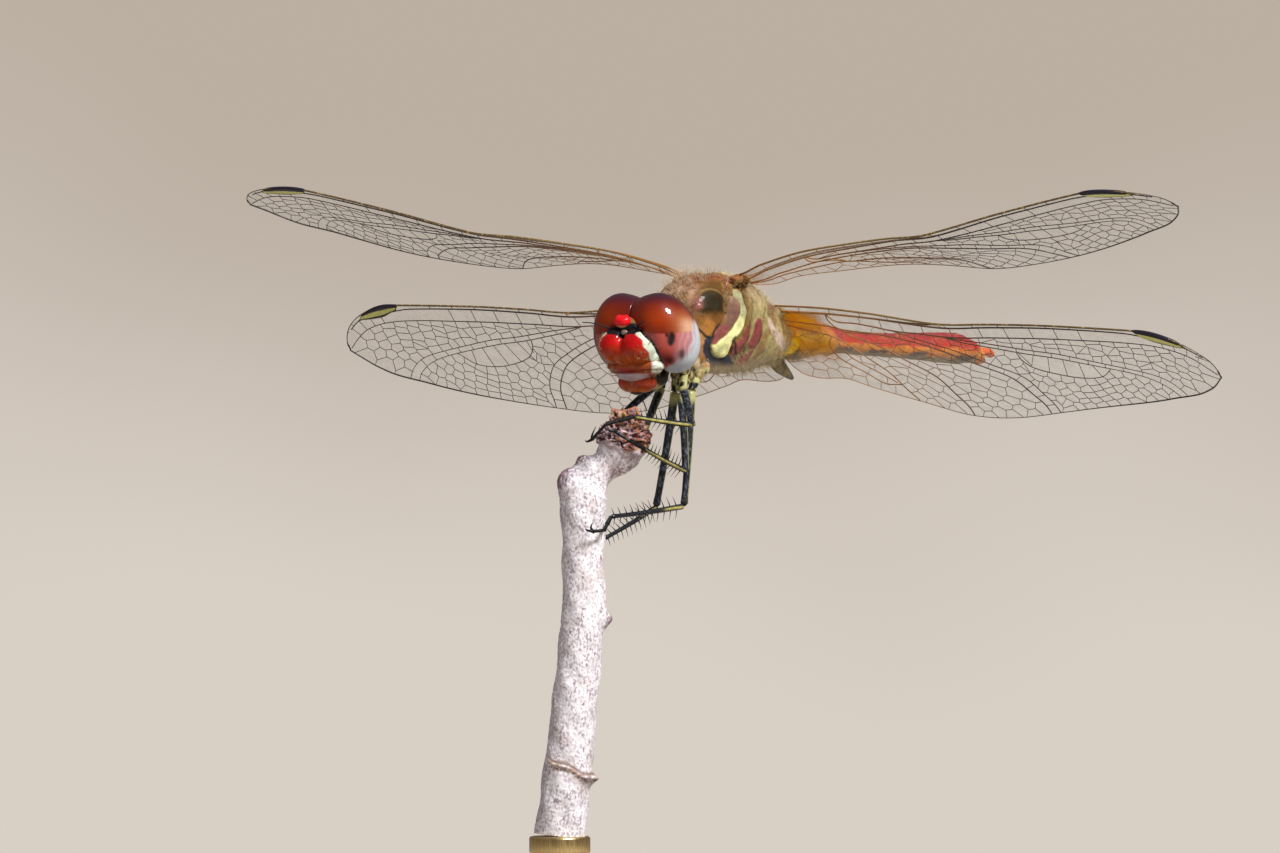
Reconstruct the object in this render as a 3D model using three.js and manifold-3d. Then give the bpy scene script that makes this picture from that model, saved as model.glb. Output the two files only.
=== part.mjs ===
// A male red-veined darter, life size, gripping the broken end of a twig on a small display stand.
// Millimetres, +Z up. The stand's base is centred on the origin and stands on z = 0.
// The animal faces -Y and its left side is +X.
import * as THREE from "three";
import { mergeVertices } from "three/addons/utils/BufferGeometryUtils.js";
import Module from "manifold-3d";

const wasm = await Module();
wasm.setup();

// ---------------------------------------------------------------- driving dimensions

// The animal's own origin is midway between its two forewing hinges.
const HINGE_ORIGIN = [3.05, 10.45, 46.5];
// Play left between two pieces that touch.
const SEAM = 0.06;

const BASE_RADIUS = 30;
const BASE_HEIGHT = 4.5;
const BASE_EDGE = 0.8;
const ROD_RADIUS = 0.8;
const CUP_RADIUS = 1.7;
const CUP_HEIGHT = 1.0;

// The cut end of the twig, above the table.
const TWIG_FOOT_HEIGHT = 15.3;

const FOREWING_LENGTH = 29.26;
const HINDWING_LENGTH = 27.66;
const FOREWING_HINGE = [2.14, 0, 0];
const HINDWING_HINGE = [1.91, 3.93, -1.81];
// A real wing is a film a few thousandths of a millimetre thick.
const WING_THICKNESS = 0.5;
// How far the wing's root runs inwards past the hinge before the body stops it.
const WING_ROOT = 1.1;

const EYE_RADII = [1.68, 1.75, 2.4];
const EYE_CENTRE = [1.45, -6.48, -3.27];
// Each eye leans in over the crown, and the whole head hangs with its chin drawn back.
const EYE_LEAN = 12;
const HEAD_PITCH = 30;

const THORAX_FRONT = -3.95;
const THORAX_BACK = 5.9;
const ABDOMEN_FRONT = 5.97;
const SEGMENT_LENGTHS = [0.9, 2.0, 3.1, 3.3, 3.2, 3.0, 2.6, 1.9, 1.3, 0.7];

// ---------------------------------------------------------------- small tools

const vec = (p) => new THREE.Vector3(p[0], p[1], p[2]);
const rad = THREE.MathUtils.degToRad;
const mirrored = (p, side) => [p[0] * side, p[1], p[2]];

// A smooth value between stations given as [place, value], with no overshoot between them.
function between(stations, place) {
  const last = stations.length - 1;
  if (place <= stations[0][0]) return stations[0][1];
  if (place >= stations[last][0]) return stations[last][1];
  let i = 0;
  while (place > stations[i + 1][0]) i += 1;
  const slope = (k) => (stations[k + 1][1] - stations[k][1]) / (stations[k + 1][0] - stations[k][0]);
  const tangent = (k) => {
    if (k === 0) return slope(0);
    if (k === last) return slope(last - 1);
    const before = slope(k - 1);
    const after = slope(k);
    return before * after <= 0 ? 0 : (2 * before * after) / (before + after);
  };
  const span = stations[i + 1][0] - stations[i][0];
  const t = (place - stations[i][0]) / span;
  const rise = stations[i + 1][1] - stations[i][1];
  const square = t * t;
  const cube = square * t;
  return (
    stations[i][1] +
    (3 * square - 2 * cube) * rise +
    (cube - 2 * square + t) * span * tangent(i) +
    (cube - square) * span * tangent(i + 1)
  );
}

// A closed skin over rings of points. Each ring has the same number of points, and the two ends
// are closed with a fan.
function loft(rings) {
  const count = rings[0].length;
  const middle = (ring) => ring.reduce((sum, p) => sum.add(p), new THREE.Vector3()).divideScalar(count);
  const points = [...rings.flat(), middle(rings[0]), middle(rings.at(-1))];
  const firstMiddle = points.length - 2;
  const lastMiddle = points.length - 1;
  const faces = [];
  for (let k = 0; k < rings.length - 1; k += 1) {
    for (let i = 0; i < count; i += 1) {
      const a = k * count + i;
      const b = k * count + ((i + 1) % count);
      faces.push([a, b, b + count], [a, b + count, a + count]);
    }
  }
  const lastRing = (rings.length - 1) * count;
  for (let i = 0; i < count; i += 1) {
    const next = (i + 1) % count;
    faces.push([firstMiddle, next, i], [lastMiddle, lastRing + i, lastRing + next]);
  }
  const volume = faces.reduce(
    (sum, [a, b, c]) => sum + points[a].dot(new THREE.Vector3().crossVectors(points[b], points[c])),
    0,
  );
  const index = faces.flatMap(([a, b, c]) => (volume > 0 ? [a, b, c] : [a, c, b]));
  const geometry = new THREE.BufferGeometry();
  geometry.setFromPoints(points);
  geometry.setIndex(index);
  return geometry;
}

// Rings of `sides` points square to a path, with the radius given by place and bearing.
// Bearing 0 points to the animal's left.
function sweep(path, sides, radius) {
  return loft(
    path.map((point, k) => {
      const ahead = path[Math.min(k + 1, path.length - 1)];
      const behind = path[Math.max(k - 1, 0)];
      const along = ahead.clone().sub(behind).normalize();
      const left = new THREE.Vector3(1, 0, 0).addScaledVector(along, -along.x).normalize();
      const up = new THREE.Vector3().crossVectors(left, along);
      return Array.from({ length: sides }, (_, i) => {
        const bearing = (i / sides) * 2 * Math.PI;
        const reach = radius(k / (path.length - 1), bearing);
        return point
          .clone()
          .addScaledVector(left, reach * Math.cos(bearing))
          .addScaledVector(up, reach * Math.sin(bearing));
      });
    }),
  );
}

// A closed geometry as a manifold solid.
function solid(geometry) {
  const bare = geometry.clone();
  bare.deleteAttribute("normal");
  bare.deleteAttribute("uv");
  const merged = mergeVertices(bare, 1e-4);
  return new wasm.Manifold(
    new wasm.Mesh({
      numProp: 3,
      vertProperties: merged.attributes.position.array,
      triVerts: new Uint32Array(merged.index.array),
    }),
  );
}

// The largest body of a solid, as a geometry.
function geometryOf(shape) {
  const bodies = shape.decompose().sort((a, b) => b.volume() - a.volume());
  const mesh = bodies[0].getMesh();
  const geometry = new THREE.BufferGeometry();
  geometry.setAttribute("position", new THREE.BufferAttribute(new Float32Array(mesh.vertProperties), 3));
  geometry.setIndex(new THREE.BufferAttribute(new Uint32Array(mesh.triVerts), 1));
  return geometry;
}

// A piece with the room its neighbours take cut out of it.
function carve(geometry, ...neighbours) {
  return geometryOf(neighbours.reduce((rest, cutter) => rest.subtract(solid(cutter)), solid(geometry)));
}

function join(...pieces) {
  return geometryOf(pieces.map(solid).reduce((sum, piece) => sum.add(piece)));
}

// An ellipsoid, turned about Y and then about X.
function ellipsoid(centre, radii, { lean = 0, pitch = 0, around = 16, down = 10, grow = 0 } = {}) {
  const geometry = new THREE.SphereGeometry(1, around, down);
  geometry.scale(radii[0] + grow, radii[1] + grow, radii[2] + grow);
  geometry.rotateY(rad(lean));
  geometry.rotateX(rad(pitch));
  geometry.translate(centre[0], centre[1], centre[2]);
  return geometry;
}

const materials = {
  redShell: new THREE.MeshStandardMaterial({ color: 0xb3221c, roughness: 0.25, metalness: 0 }),
  redAbdomen: new THREE.MeshStandardMaterial({ color: 0xc23a1e, roughness: 0.45, metalness: 0 }),
  eye: new THREE.MeshStandardMaterial({ color: 0x7d3323, roughness: 0.2, metalness: 0 }),
  mouth: new THREE.MeshStandardMaterial({ color: 0xa2563b, roughness: 0.3, metalness: 0 }),
  thorax: new THREE.MeshStandardMaterial({ color: 0x8c6f45, roughness: 0.5, metalness: 0 }),
  wing: new THREE.MeshStandardMaterial({ color: 0xcdbf9f, roughness: 0.2, metalness: 0 }),
  leg: new THREE.MeshStandardMaterial({ color: 0x23252b, roughness: 0.4, metalness: 0 }),
  bark: new THREE.MeshStandardMaterial({ color: 0xb9b0b2, roughness: 0.85, metalness: 0 }),
  brass: new THREE.MeshStandardMaterial({ color: 0xb08d4f, roughness: 0.35, metalness: 1 }),
  base: new THREE.MeshStandardMaterial({ color: 0x3b2a20, roughness: 0.45, metalness: 0 }),
};

const part = new THREE.Group();
const animal = new THREE.Group();
animal.position.set(...HINGE_ORIGIN);
part.add(animal);

function place(group, name, geometry, material) {
  const mesh = new THREE.Mesh(geometry, material);
  mesh.name = name;
  group.add(mesh);
}

// ---------------------------------------------------------------- thorax and neck

// Stations along the body: the height of the back and of the belly, and the half width.
const THORAX_TOP = [
  [-3.95, -1.95], [-3.3, -0.95], [-2.2, -0.25], [-0.6, 0.12], [1.2, 0.12], [2.6, -0.4],
  [4.2, -1.45], [5.9, -2.15],
];
const THORAX_BELLY = [[-3.95, -4.75], [-3.3, -5.2], [-2.0, -5.45], [1.0, -5.5], [4.0, -5.2], [5.9, -4.75]];
const THORAX_WIDTH = [
  [-3.95, 1.35], [-3.3, 1.75], [-2.0, 2.12], [0.5, 2.32], [3.0, 2.25], [4.6, 2.0], [5.9, 1.6],
];

// The back is nearly flat between the wings, and the flanks draw in towards the belly.
function thoraxGeometry(grow = 0) {
  const stations = 13;
  const sides = 18;
  const ring = (y) => {
    const top = between(THORAX_TOP, y) + grow;
    const belly = between(THORAX_BELLY, y) - grow;
    const width = between(THORAX_WIDTH, y) + grow;
    return Array.from({ length: sides }, (_, i) => {
      const bearing = (i / sides) * 2 * Math.PI;
      const across = Math.cos(bearing);
      const up = Math.sin(bearing);
      const squareness = up > 0 ? 0.5 : 0.85;
      const taper = up > 0 ? 0.1 : 0.34;
      const x = Math.sign(across) * Math.abs(across) ** squareness * width * (1 - taper * up * up);
      const z = (top + belly) / 2 + (Math.sign(up) * Math.abs(up) ** 0.85 * (top - belly)) / 2;
      return new THREE.Vector3(x, y, z);
    });
  };
  const length = THORAX_BACK - THORAX_FRONT + 2 * grow;
  return loft(
    Array.from({ length: stations }, (_, k) => ring(THORAX_FRONT - grow + (k / (stations - 1)) * length)),
  );
}

const PROTHORAX_CENTRE = [0, -3.98, -3.75];
const PROTHORAX_RADII = [1.35, 0.46, 1.4];
const NECK_CENTRE = [0, -4.6, -3.6];

const prothoraxGeometry = (grow = 0) =>
  ellipsoid(PROTHORAX_CENTRE, PROTHORAX_RADII, { grow, around: 14, down: 6 });

// ---------------------------------------------------------------- head

function eyeGeometry(side, grow = 0) {
  const turn = { lean: -side * EYE_LEAN, pitch: HEAD_PITCH };
  const geometry = ellipsoid([0, 0, 0], EYE_RADII, { ...turn, around: 20, down: 12, grow });
  geometry.translate(side * EYE_CENTRE[0], EYE_CENTRE[1], EYE_CENTRE[2]);
  // The two eyes meet along a flat seam on the crown.
  const place = geometry.attributes.position;
  for (let i = 0; i < place.count; i += 1) {
    const x = place.getX(i) * side;
    place.setX(i, side * Math.max(x, SEAM / 2 - grow));
  }
  return geometry;
}

const eyes = (grow) => [eyeGeometry(1, grow), eyeGeometry(-1, grow)];

// The capsule behind and between the eyes, with the knob of the vertex in front of them.
const skull = (grow = 0) =>
  join(
    ellipsoid([0, -6.35, -3.45], [2.3, 1.6, 2.25], { grow, pitch: 12, around: 14, down: 8 }),
    ellipsoid([0, -7.95, -3.0], [0.95, 0.62, 0.85], { grow, around: 10, down: 6 }),
    ellipsoid([0, -8.35, -2.62], [0.46, 0.5, 0.42], { grow, around: 10, down: 6 }),
  );

// Two swollen lobes with a furrow between them.
const frons = (grow = 0) =>
  join(
    ellipsoid([0.7, -8.2, -3.95], [1.02, 1.02, 0.96], { grow, around: 12, down: 8 }),
    ellipsoid([-0.7, -8.2, -3.95], [1.02, 1.02, 0.96], { grow, around: 12, down: 8 }),
    ellipsoid([0, -8.05, -4.1], [0.9, 1.0, 0.9], { grow, around: 8, down: 6 }),
  );

const clypeus = (grow = 0) => ellipsoid([0, -7.4, -4.95], [1.85, 1.0, 0.78], { grow, around: 14, down: 6 });

const labrum = (grow = 0) =>
  join(
    ellipsoid([0.5, -7.05, -6.08], [0.75, 0.62, 0.54], { grow, around: 10, down: 6 }),
    ellipsoid([-0.5, -7.05, -6.08], [0.75, 0.62, 0.54], { grow, around: 10, down: 6 }),
  );

const labium = () => ellipsoid([0, -6.25, -5.75], [1.35, 1.05, 0.82], { around: 12, down: 6 });

function antenna(side) {
  const root = vec([side * 0.78, -8.55, -3.12]);
  const tip = vec([side * 2.1, -9.65, -2.68]);
  const path = [0, 0.25, 0.6, 1].map((t) => root.clone().lerp(tip, t));
  return sweep(path, 6, (t) => 0.3 - 0.05 * t);
}

place(animal, "eye_left", eyeGeometry(1), materials.eye);
place(animal, "eye_right", eyeGeometry(-1), materials.eye);
place(animal, "head", carve(skull(), ...eyes(SEAM)), materials.redShell);
place(animal, "frons", carve(frons(), ...eyes(SEAM), skull(SEAM)), materials.redShell);
place(animal, "clypeus", carve(clypeus(), ...eyes(SEAM), skull(SEAM), frons(SEAM)), materials.mouth);
place(animal, "labrum", carve(labrum(), skull(SEAM), clypeus(SEAM), ...eyes(SEAM)), materials.mouth);
place(
  animal,
  "labium",
  carve(labium(), skull(SEAM), clypeus(SEAM), labrum(SEAM), ...eyes(SEAM)),
  materials.mouth,
);
for (const [word, side] of [["left", 1], ["right", -1]]) {
  place(
    animal,
    "antenna_" + word,
    carve(antenna(side), skull(SEAM), frons(SEAM), ...eyes(SEAM)),
    materials.leg,
  );
}

const neck = ellipsoid(NECK_CENTRE, [0.75, 0.6, 0.8], { around: 10, down: 6 });
place(animal, "neck", carve(neck, skull(SEAM), ...eyes(SEAM), prothoraxGeometry(SEAM)), materials.thorax);
place(
  animal,
  "prothorax",
  carve(prothoraxGeometry(), thoraxGeometry(SEAM), skull(SEAM), ...eyes(SEAM)),
  materials.thorax,
);
place(animal, "thorax", thoraxGeometry(), materials.thorax);

// ---------------------------------------------------------------- abdomen

const ABDOMEN_MIDDLE = [
  [6, -3.42], [8, -3.42], [12.8, -3.6], [16.5, -3.78], [23, -3.9], [26.2, -4.0], [28, -4.22],
];
const ABDOMEN_HALF_HEIGHT = [
  [6, 1.3], [8, 1.38], [10, 1.12], [12, 0.86], [14, 0.7], [17, 0.69], [20, 0.74], [23, 0.86],
  [25.4, 0.92], [27, 0.72], [28, 0.5],
];
const ABDOMEN_HALF_WIDTH = [
  [6, 1.45], [7.6, 1.6], [10, 1.3], [12.5, 1.02], [15, 0.95], [18, 1.02], [21, 1.15], [24, 1.25],
  [25.6, 1.2], [27, 0.88], [28, 0.6],
];

// A slice of the abdomen: a low ridge along the back and flattened sides below.
function abdomenSlice(from, to, grow = 0) {
  const rings = 4;
  const sides = 12;
  return loft(
    Array.from({ length: rings }, (_, k) => {
      const y = from + (k / (rings - 1)) * (to - from);
      // Each plate swells a little towards its hind edge.
      const swell = 0.985 + (0.03 * k) / (rings - 1);
      const width = between(ABDOMEN_HALF_WIDTH, y) * swell + grow;
      const height = between(ABDOMEN_HALF_HEIGHT, y) * swell + grow;
      return Array.from({ length: sides }, (_, i) => {
        const bearing = ((i + 0.5) / sides) * 2 * Math.PI;
        const up = Math.sin(bearing);
        const x = Math.cos(bearing) * width * (1 - 0.1 * up);
        return new THREE.Vector3(x, y, between(ABDOMEN_MIDDLE, y) + up * height);
      });
    }),
  );
}

let segmentFront = ABDOMEN_FRONT;
const segments = SEGMENT_LENGTHS.map((length) => {
  const from = segmentFront;
  segmentFront += length;
  return { from, to: segmentFront - SEAM };
});
segments.forEach(({ from, to }, i) => {
  place(animal, "abdomen_" + (i + 1), abdomenSlice(from, to), materials.redAbdomen);
});

// The appendages behind the last segment: two upper claspers and the lower plate.
const ABDOMEN_TAIL = segmentFront;
function clasper(side) {
  const path = [
    [side * 0.32, ABDOMEN_TAIL, -4.08],
    [side * 0.46, ABDOMEN_TAIL + 0.45, -4.1],
    [side * 0.44, ABDOMEN_TAIL + 0.95, -4.22],
    [side * 0.32, ABDOMEN_TAIL + 1.3, -4.2],
  ].map(vec);
  return sweep(path, 8, (t) => between([[0, 0.25], [0.6, 0.26], [1, 0.1]], t));
}
place(animal, "cercus_left", clasper(1), materials.redAbdomen);
place(animal, "cercus_right", clasper(-1), materials.redAbdomen);
const lowerPlate = [
  [0, ABDOMEN_TAIL, -4.5],
  [0, ABDOMEN_TAIL + 0.4, -4.56],
  [0, ABDOMEN_TAIL + 0.85, -4.62],
].map(vec);
const underClasper = (side) =>
  sweep(lowerPlate.map((p) => p.clone().add(vec([side * 0.4, 0, 0.4]))), 8, () => 0.31);
place(
  animal,
  "epiproct",
  carve(sweep(lowerPlate, 8, (t) => 0.34 - 0.12 * t), underClasper(1), underClasper(-1)),
  materials.redAbdomen,
);

// The male's secondary genitalia hang under the second segment.
const lobe = sweep(
  [[0, 6.3, -4.5], [0, 6.9, -5.0], [0, 7.7, -5.45], [0, 8.4, -5.8]].map(vec),
  8,
  (t) => between([[0, 0.62], [0.5, 0.5], [1, 0.2]], t),
);
place(
  animal,
  "genital_lobe",
  carve(
    lobe,
    thoraxGeometry(SEAM),
    ...segments.slice(0, 3).map(({ from, to }) => abdomenSlice(from - SEAM, to + SEAM, SEAM)),
  ),
  materials.redAbdomen,
);

// ---------------------------------------------------------------- wings

// The trailing edge's distance behind the leading edge's line, by share of the wing's length.
const FOREWING_REAR = [
  [0, 2.6], [0.06, 3.1], [0.15, 4.3], [0.25, 5.3], [0.38, 6.2], [0.5, 6.7], [0.6, 6.8],
  [0.72, 6.5], [0.82, 6.0], [0.9, 5.2], [0.96, 4.1], [1, 2.9],
];
const HINDWING_REAR = [
  [0, 6.0], [0.05, 6.3], [0.12, 7.0], [0.22, 7.9], [0.34, 8.4], [0.45, 8.3], [0.56, 7.8],
  [0.68, 7.1], [0.8, 6.3], [0.9, 5.2], [0.96, 4.1], [1, 2.9],
];
// The leading edge is straight as far as the pterostigma, and then rounds the tip.
const TIP_START = 0.86;
const TIP_DEPTH = 2.5;
// A wing is not flat: its root arches up, it dips at the nodus and lifts again beyond it.
const FOREWING_LIFT = [
  [0, 0.1], [0.05, 0.36], [0.16, 0.56], [0.27, 0.42], [0.36, 0.25], [0.46, 0], [0.65, 0.2],
  [0.84, 0.3], [0.94, 0], [1, -0.2],
];
const HINDWING_LIFT = [
  [0, 0.17], [0.1, 0.23], [0.2, 0.15], [0.39, -0.13], [0.5, 0.04], [0.65, 0.22], [0.84, 0.3],
  [0.94, 0.02], [1, -0.2],
];
// The share of the length over which the pitch turns from the root's to the tip's.
const TWIST_START = 0.2;
const TWIST_END = 0.75;
// Round the wing's section: the share of the chord, and above or below the middle.
const WING_SECTION = [[0, 0], [0.1, 1], [0.5, 1], [0.9, 1], [1, 0], [0.9, -1], [0.5, -1], [0.1, -1]];

// Each wing's side, its sweep forwards, its rise, and its pitch nose up at the root and tip.
const WINGS = {
  wing_fore_left: { side: 1, fore: true, angles: [6.94, 9.18, 13, 22] },
  wing_fore_right: { side: -1, fore: true, angles: [7.81, 11.31, 14, 26] },
  wing_hind_left: { side: 1, fore: false, angles: [-2.05, -4.21, 39, 39] },
  wing_hind_right: { side: -1, fore: false, angles: [-1.08, 0.19, 41, 50] },
};

function wingGeometry({ side, fore, angles }) {
  const [sweepAngle, dihedral, rootPitch, outerPitch] = angles;
  const length = fore ? FOREWING_LENGTH : HINDWING_LENGTH;
  const rear = fore ? FOREWING_REAR : HINDWING_REAR;
  const hinge = vec(mirrored(fore ? FOREWING_HINGE : HINDWING_HINGE, side));
  const out = new THREE.Vector3(
    side * Math.cos(rad(sweepAngle)) * Math.cos(rad(dihedral)),
    -Math.sin(rad(sweepAngle)) * Math.cos(rad(dihedral)),
    Math.sin(rad(dihedral)),
  );
  const back = new THREE.Vector3(0, 1, 0).addScaledVector(out, -out.y).normalize();
  const up = new THREE.Vector3().crossVectors(out, back).multiplyScalar(side);
  const ring = (share) => {
    const twist = THREE.MathUtils.smoothstep(share, TWIST_START, TWIST_END);
    const pitch = rad(rootPitch + (outerPitch - rootPitch) * twist);
    const chord = back.clone().multiplyScalar(Math.cos(pitch)).addScaledVector(up, -Math.sin(pitch));
    const normal = up.clone().multiplyScalar(Math.cos(pitch)).addScaledVector(back, Math.sin(pitch));
    const round = Math.min(Math.max((share - TIP_START) / (1 - TIP_START), 0), 1);
    const front = TIP_DEPTH * (1 - Math.sqrt(1 - round * round));
    // The root narrows to the hinge plates.
    const root = THREE.MathUtils.smoothstep(-share * length, 0, WING_ROOT);
    const behind = between(rear, share) * (1 - 0.35 * root);
    const lift = between(fore ? FOREWING_LIFT : HINDWING_LIFT, share);
    const start = hinge.clone().addScaledVector(out, share * length).addScaledVector(up, lift);
    return WING_SECTION.map(([across, high]) =>
      start
        .clone()
        .addScaledVector(chord, front + (behind - front) * across)
        .addScaledVector(normal, (high * WING_THICKNESS) / 2),
    );
  };
  const stations = 19;
  const rootShare = -WING_ROOT / length;
  const shares = Array.from({ length: stations }, (_, k) => {
    const t = k / (stations - 1);
    return rootShare + (0.997 - rootShare) * Math.sin((t * Math.PI) / 2) ** 1.15;
  });
  return loft(shares.map(ring));
}

const bodyRoom = [
  thoraxGeometry(SEAM),
  ...segments.slice(0, 3).map(({ from, to }) => abdomenSlice(from - SEAM, to + SEAM, SEAM)),
];
for (const [name, wing] of Object.entries(WINGS)) {
  place(animal, name, carve(wingGeometry(wing), ...bodyRoom), materials.wing);
}

// ---------------------------------------------------------------- twig

// The twig's middle line in the animal's frame, from the broken top down to the cut end, and its
// half thickness at the same places.
const TWIG_FOOT = TWIG_FOOT_HEIGHT - HINGE_ORIGIN[2];
const TWIG_LINE = [
  [-0.09, -8.51, -7.58],
  [-0.04, -8.48, -8.24],
  [-0.14, -8.54, -9.13],
  [-0.39, -8.71, -10.02],
  [-0.9, -9.05, -10.74],
  [-1.45, -9.43, -11.46],
  [-1.81, -9.68, -12.19],
  [-1.93, -9.75, -13.24],
  [-1.96, -9.76, -15.35],
  [-1.94, -9.74, -18.68],
  [-2.24, -9.93, -22.57],
  [-2.55, -10.13, -26.18],
  [-3.04, -10.44, TWIG_FOOT - 0.3],
];
const TWIG_HALF = [
  [0, 0.55], [0.027, 1.05], [0.064, 1.42], [0.1, 1.22], [0.14, 0.98], [0.18, 0.98], [0.215, 1.25],
  [0.26, 1.28], [0.345, 1.15], [0.48, 1.2], [0.64, 1.24], [0.79, 1.3], [1, 1.42],
];
// Buds, scars and swellings: share of the length, bearing in degrees, height, reach in share and
// reach in degrees.
const TWIG_KNOBS = [
  [0.205, 214, 0.55, 0.022, 38],
  [0.165, 214, 0.5, 0.014, 28],
  [0.05, 34, 0.22, 0.02, 36],
  [0.5, 34, 0.42, 0.016, 32],
  [0.845, 34, 0.32, 0.013, 75],
  [0.845, 214, 0.12, 0.013, 60],
];

function twigRadius(share, bearing) {
  const knobs = TWIG_KNOBS.reduce((sum, [at, aim, height, reach, turn]) => {
    const away = (share - at) / reach;
    let swing = THREE.MathUtils.radToDeg(bearing) - aim;
    swing -= 360 * Math.round(swing / 360);
    return sum + height * Math.exp(-away * away - (swing / turn) ** 2);
  }, 0);
  const ripple = 0.035 * Math.sin(3 * bearing + 40 * share) + 0.025 * Math.sin(5 * bearing - 63 * share);
  return between(TWIG_HALF, share) + knobs + ripple;
}

const twigCurve = new THREE.CatmullRomCurve3(TWIG_LINE.map(vec), false, "centripetal");
const TWIG_STEPS = 28;
const TWIG_SIDES = 12;
// Rings are closest together at the knobbly upper end.
const twigShare = (step) => step ** 1.35;


function twigGeometry(grow = 0) {
  const path = Array.from({ length: TWIG_STEPS + 1 }, (_, k) =>
    twigCurve.getPointAt(twigShare(k / TWIG_STEPS)),
  );
  return sweep(path, TWIG_SIDES, (step, bearing) => twigRadius(twigShare(step), bearing) + grow);
}

// The twig's lower end is sawn off level, to stand in the rod's cup.
const sawCut = new THREE.CylinderGeometry(4, 4, 4, 12);
sawCut.rotateX(Math.PI / 2);
sawCut.translate(TWIG_LINE.at(-1)[0], TWIG_LINE.at(-1)[1], TWIG_FOOT - 2);
place(animal, "twig", carve(twigGeometry(), sawCut), materials.bark);

// ---------------------------------------------------------------- legs

// Each leg: hip, thigh joint, knee, end of the shin, and two points of the foot.
const LEGS = {
  front_left: [
    [1.0, -4.1, -4.7], [1.18, -4.5, -6.34], [3.11, -6.45, -8.38], [1.21, -9.32, -7.92],
    [0.07, -10.46, -8.33], [-0.85, -10.48, -9.19],
  ],
  middle_left: [
    [0.95, -3.2, -4.9], [0.64, -3.9, -6.56], [1.29, -4.41, -10.94], [1.6, -8.87, -9.72],
    [1.2, -9.75, -9.25], [0.54, -10.26, -8.75],
  ],
  hind_left: [
    [0.85, -2.1, -5.0], [0.74, -2.99, -6.44], [1.11, -4.28, -12.92], [-0.22, -9.55, -13.47],
    [-0.23, -10.22, -14.23], [-0.53, -10.85, -14.28],
  ],
  front_right: [
    [-0.9, -4.2, -4.7], [-0.56, -4.72, -6.2], [-1.59, -7.36, -8.35], [-2.35, -7.93, -10.24],
    [-2.73, -8.25, -10.8], [-3.02, -8.81, -11.36],
  ],
  middle_right: [
    [-0.95, -3.2, -4.9], [-0.95, -3.54, -6.32], [-0.25, -6.56, -9.24], [-2.15, -7.43, -11.47],
    [-2.39, -7.77, -12.42], [-2.66, -8.07, -13.2],
  ],
  hind_right: [
    [-0.9, -2.0, -5.0], [-0.81, -2.35, -6.49], [-1.08, -3.84, -12.99], [-1.77, -7.88, -14.7],
    [-2.34, -8.03, -14.53], [-2.92, -8.37, -14.31],
  ],
};
const LEG_SIDES = 7;
const HIP_HALF = 0.46;
const THIGH_HALF = 0.29;
const KNEE_HALF = 0.25;
const SHIN_HALF = 0.25;
const FOOT_HALF = 0.25;

// A point a seam's width past the end of a length of leg.
const beyond = (from, to) => vec(to).addScaledVector(vec(to).sub(vec(from)).normalize(), SEAM);

const bodyForLegs = [thoraxGeometry(SEAM), prothoraxGeometry(SEAM)];
const twigRoom = twigGeometry(SEAM);
for (const [name, [hip, thighJoint, knee, shinEnd, footMiddle, footTip]] of Object.entries(LEGS)) {
  const thighMiddle = vec(thighJoint).lerp(vec(knee), 0.35);
  const thigh = sweep([vec(hip), vec(thighJoint), thighMiddle, vec(knee)], LEG_SIDES, (t) =>
    between([[0, HIP_HALF], [0.33, THIGH_HALF], [0.66, THIGH_HALF], [1, KNEE_HALF]], t),
  );
  const shin = sweep([vec(knee), vec(shinEnd)], LEG_SIDES, () => SHIN_HALF);
  const foot = sweep([shinEnd, footMiddle, footTip].map(vec), LEG_SIDES, () => FOOT_HALF);
  const thighRoom = sweep([vec(thighJoint), vec(knee), beyond(thighJoint, knee)], LEG_SIDES, (t) =>
    between([[0, THIGH_HALF + SEAM], [0.5, KNEE_HALF + SEAM], [1, KNEE_HALF + SEAM]], t),
  );
  const shinRoom = sweep([vec(knee), beyond(knee, shinEnd)], LEG_SIDES, () => SHIN_HALF + SEAM);
  place(animal, "leg_" + name + "_femur", carve(thigh, ...bodyForLegs, twigRoom), materials.leg);
  place(animal, "leg_" + name + "_tibia", carve(shin, thighRoom, twigRoom), materials.leg);
  place(animal, "leg_" + name + "_tarsus", carve(foot, shinRoom, twigRoom), materials.leg);
}

// ---------------------------------------------------------------- stand

const basePlate = new THREE.LatheGeometry(
  [
    [0, 0],
    [BASE_RADIUS - BASE_EDGE / 2, 0],
    [BASE_RADIUS, BASE_EDGE / 2],
    [BASE_RADIUS, BASE_HEIGHT - BASE_EDGE],
    [BASE_RADIUS - BASE_EDGE, BASE_HEIGHT],
    [0, BASE_HEIGHT],
  ].map(([r, z]) => new THREE.Vector2(r, z)),
  32,
);
basePlate.rotateX(Math.PI / 2);
place(part, "stand_base", basePlate, materials.base);

// The rod ends in a shallow cup under the twig's cut end.
const rodBottom = BASE_HEIGHT + SEAM;
const rodTop = TWIG_FOOT_HEIGHT - SEAM;
const rod = new THREE.LatheGeometry(
  [
    [0, rodBottom],
    [ROD_RADIUS, rodBottom],
    [ROD_RADIUS, rodTop - CUP_HEIGHT - 0.5],
    [CUP_RADIUS, rodTop - CUP_HEIGHT],
    [CUP_RADIUS, rodTop],
    [0, rodTop],
  ].map(([r, z]) => new THREE.Vector2(r, z)),
  12,
);
rod.rotateX(Math.PI / 2);
place(part, "stand_rod", rod, materials.brass);

export default part;
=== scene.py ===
"""A life-size male darter dragonfly on the broken end of a twig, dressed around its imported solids.

Everything is modelled in millimetres from the point midway between the forewing hinges, with the
animal facing -Y and its left side at +X, and moves to its place in the row's frame when it is done.
"""

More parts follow.
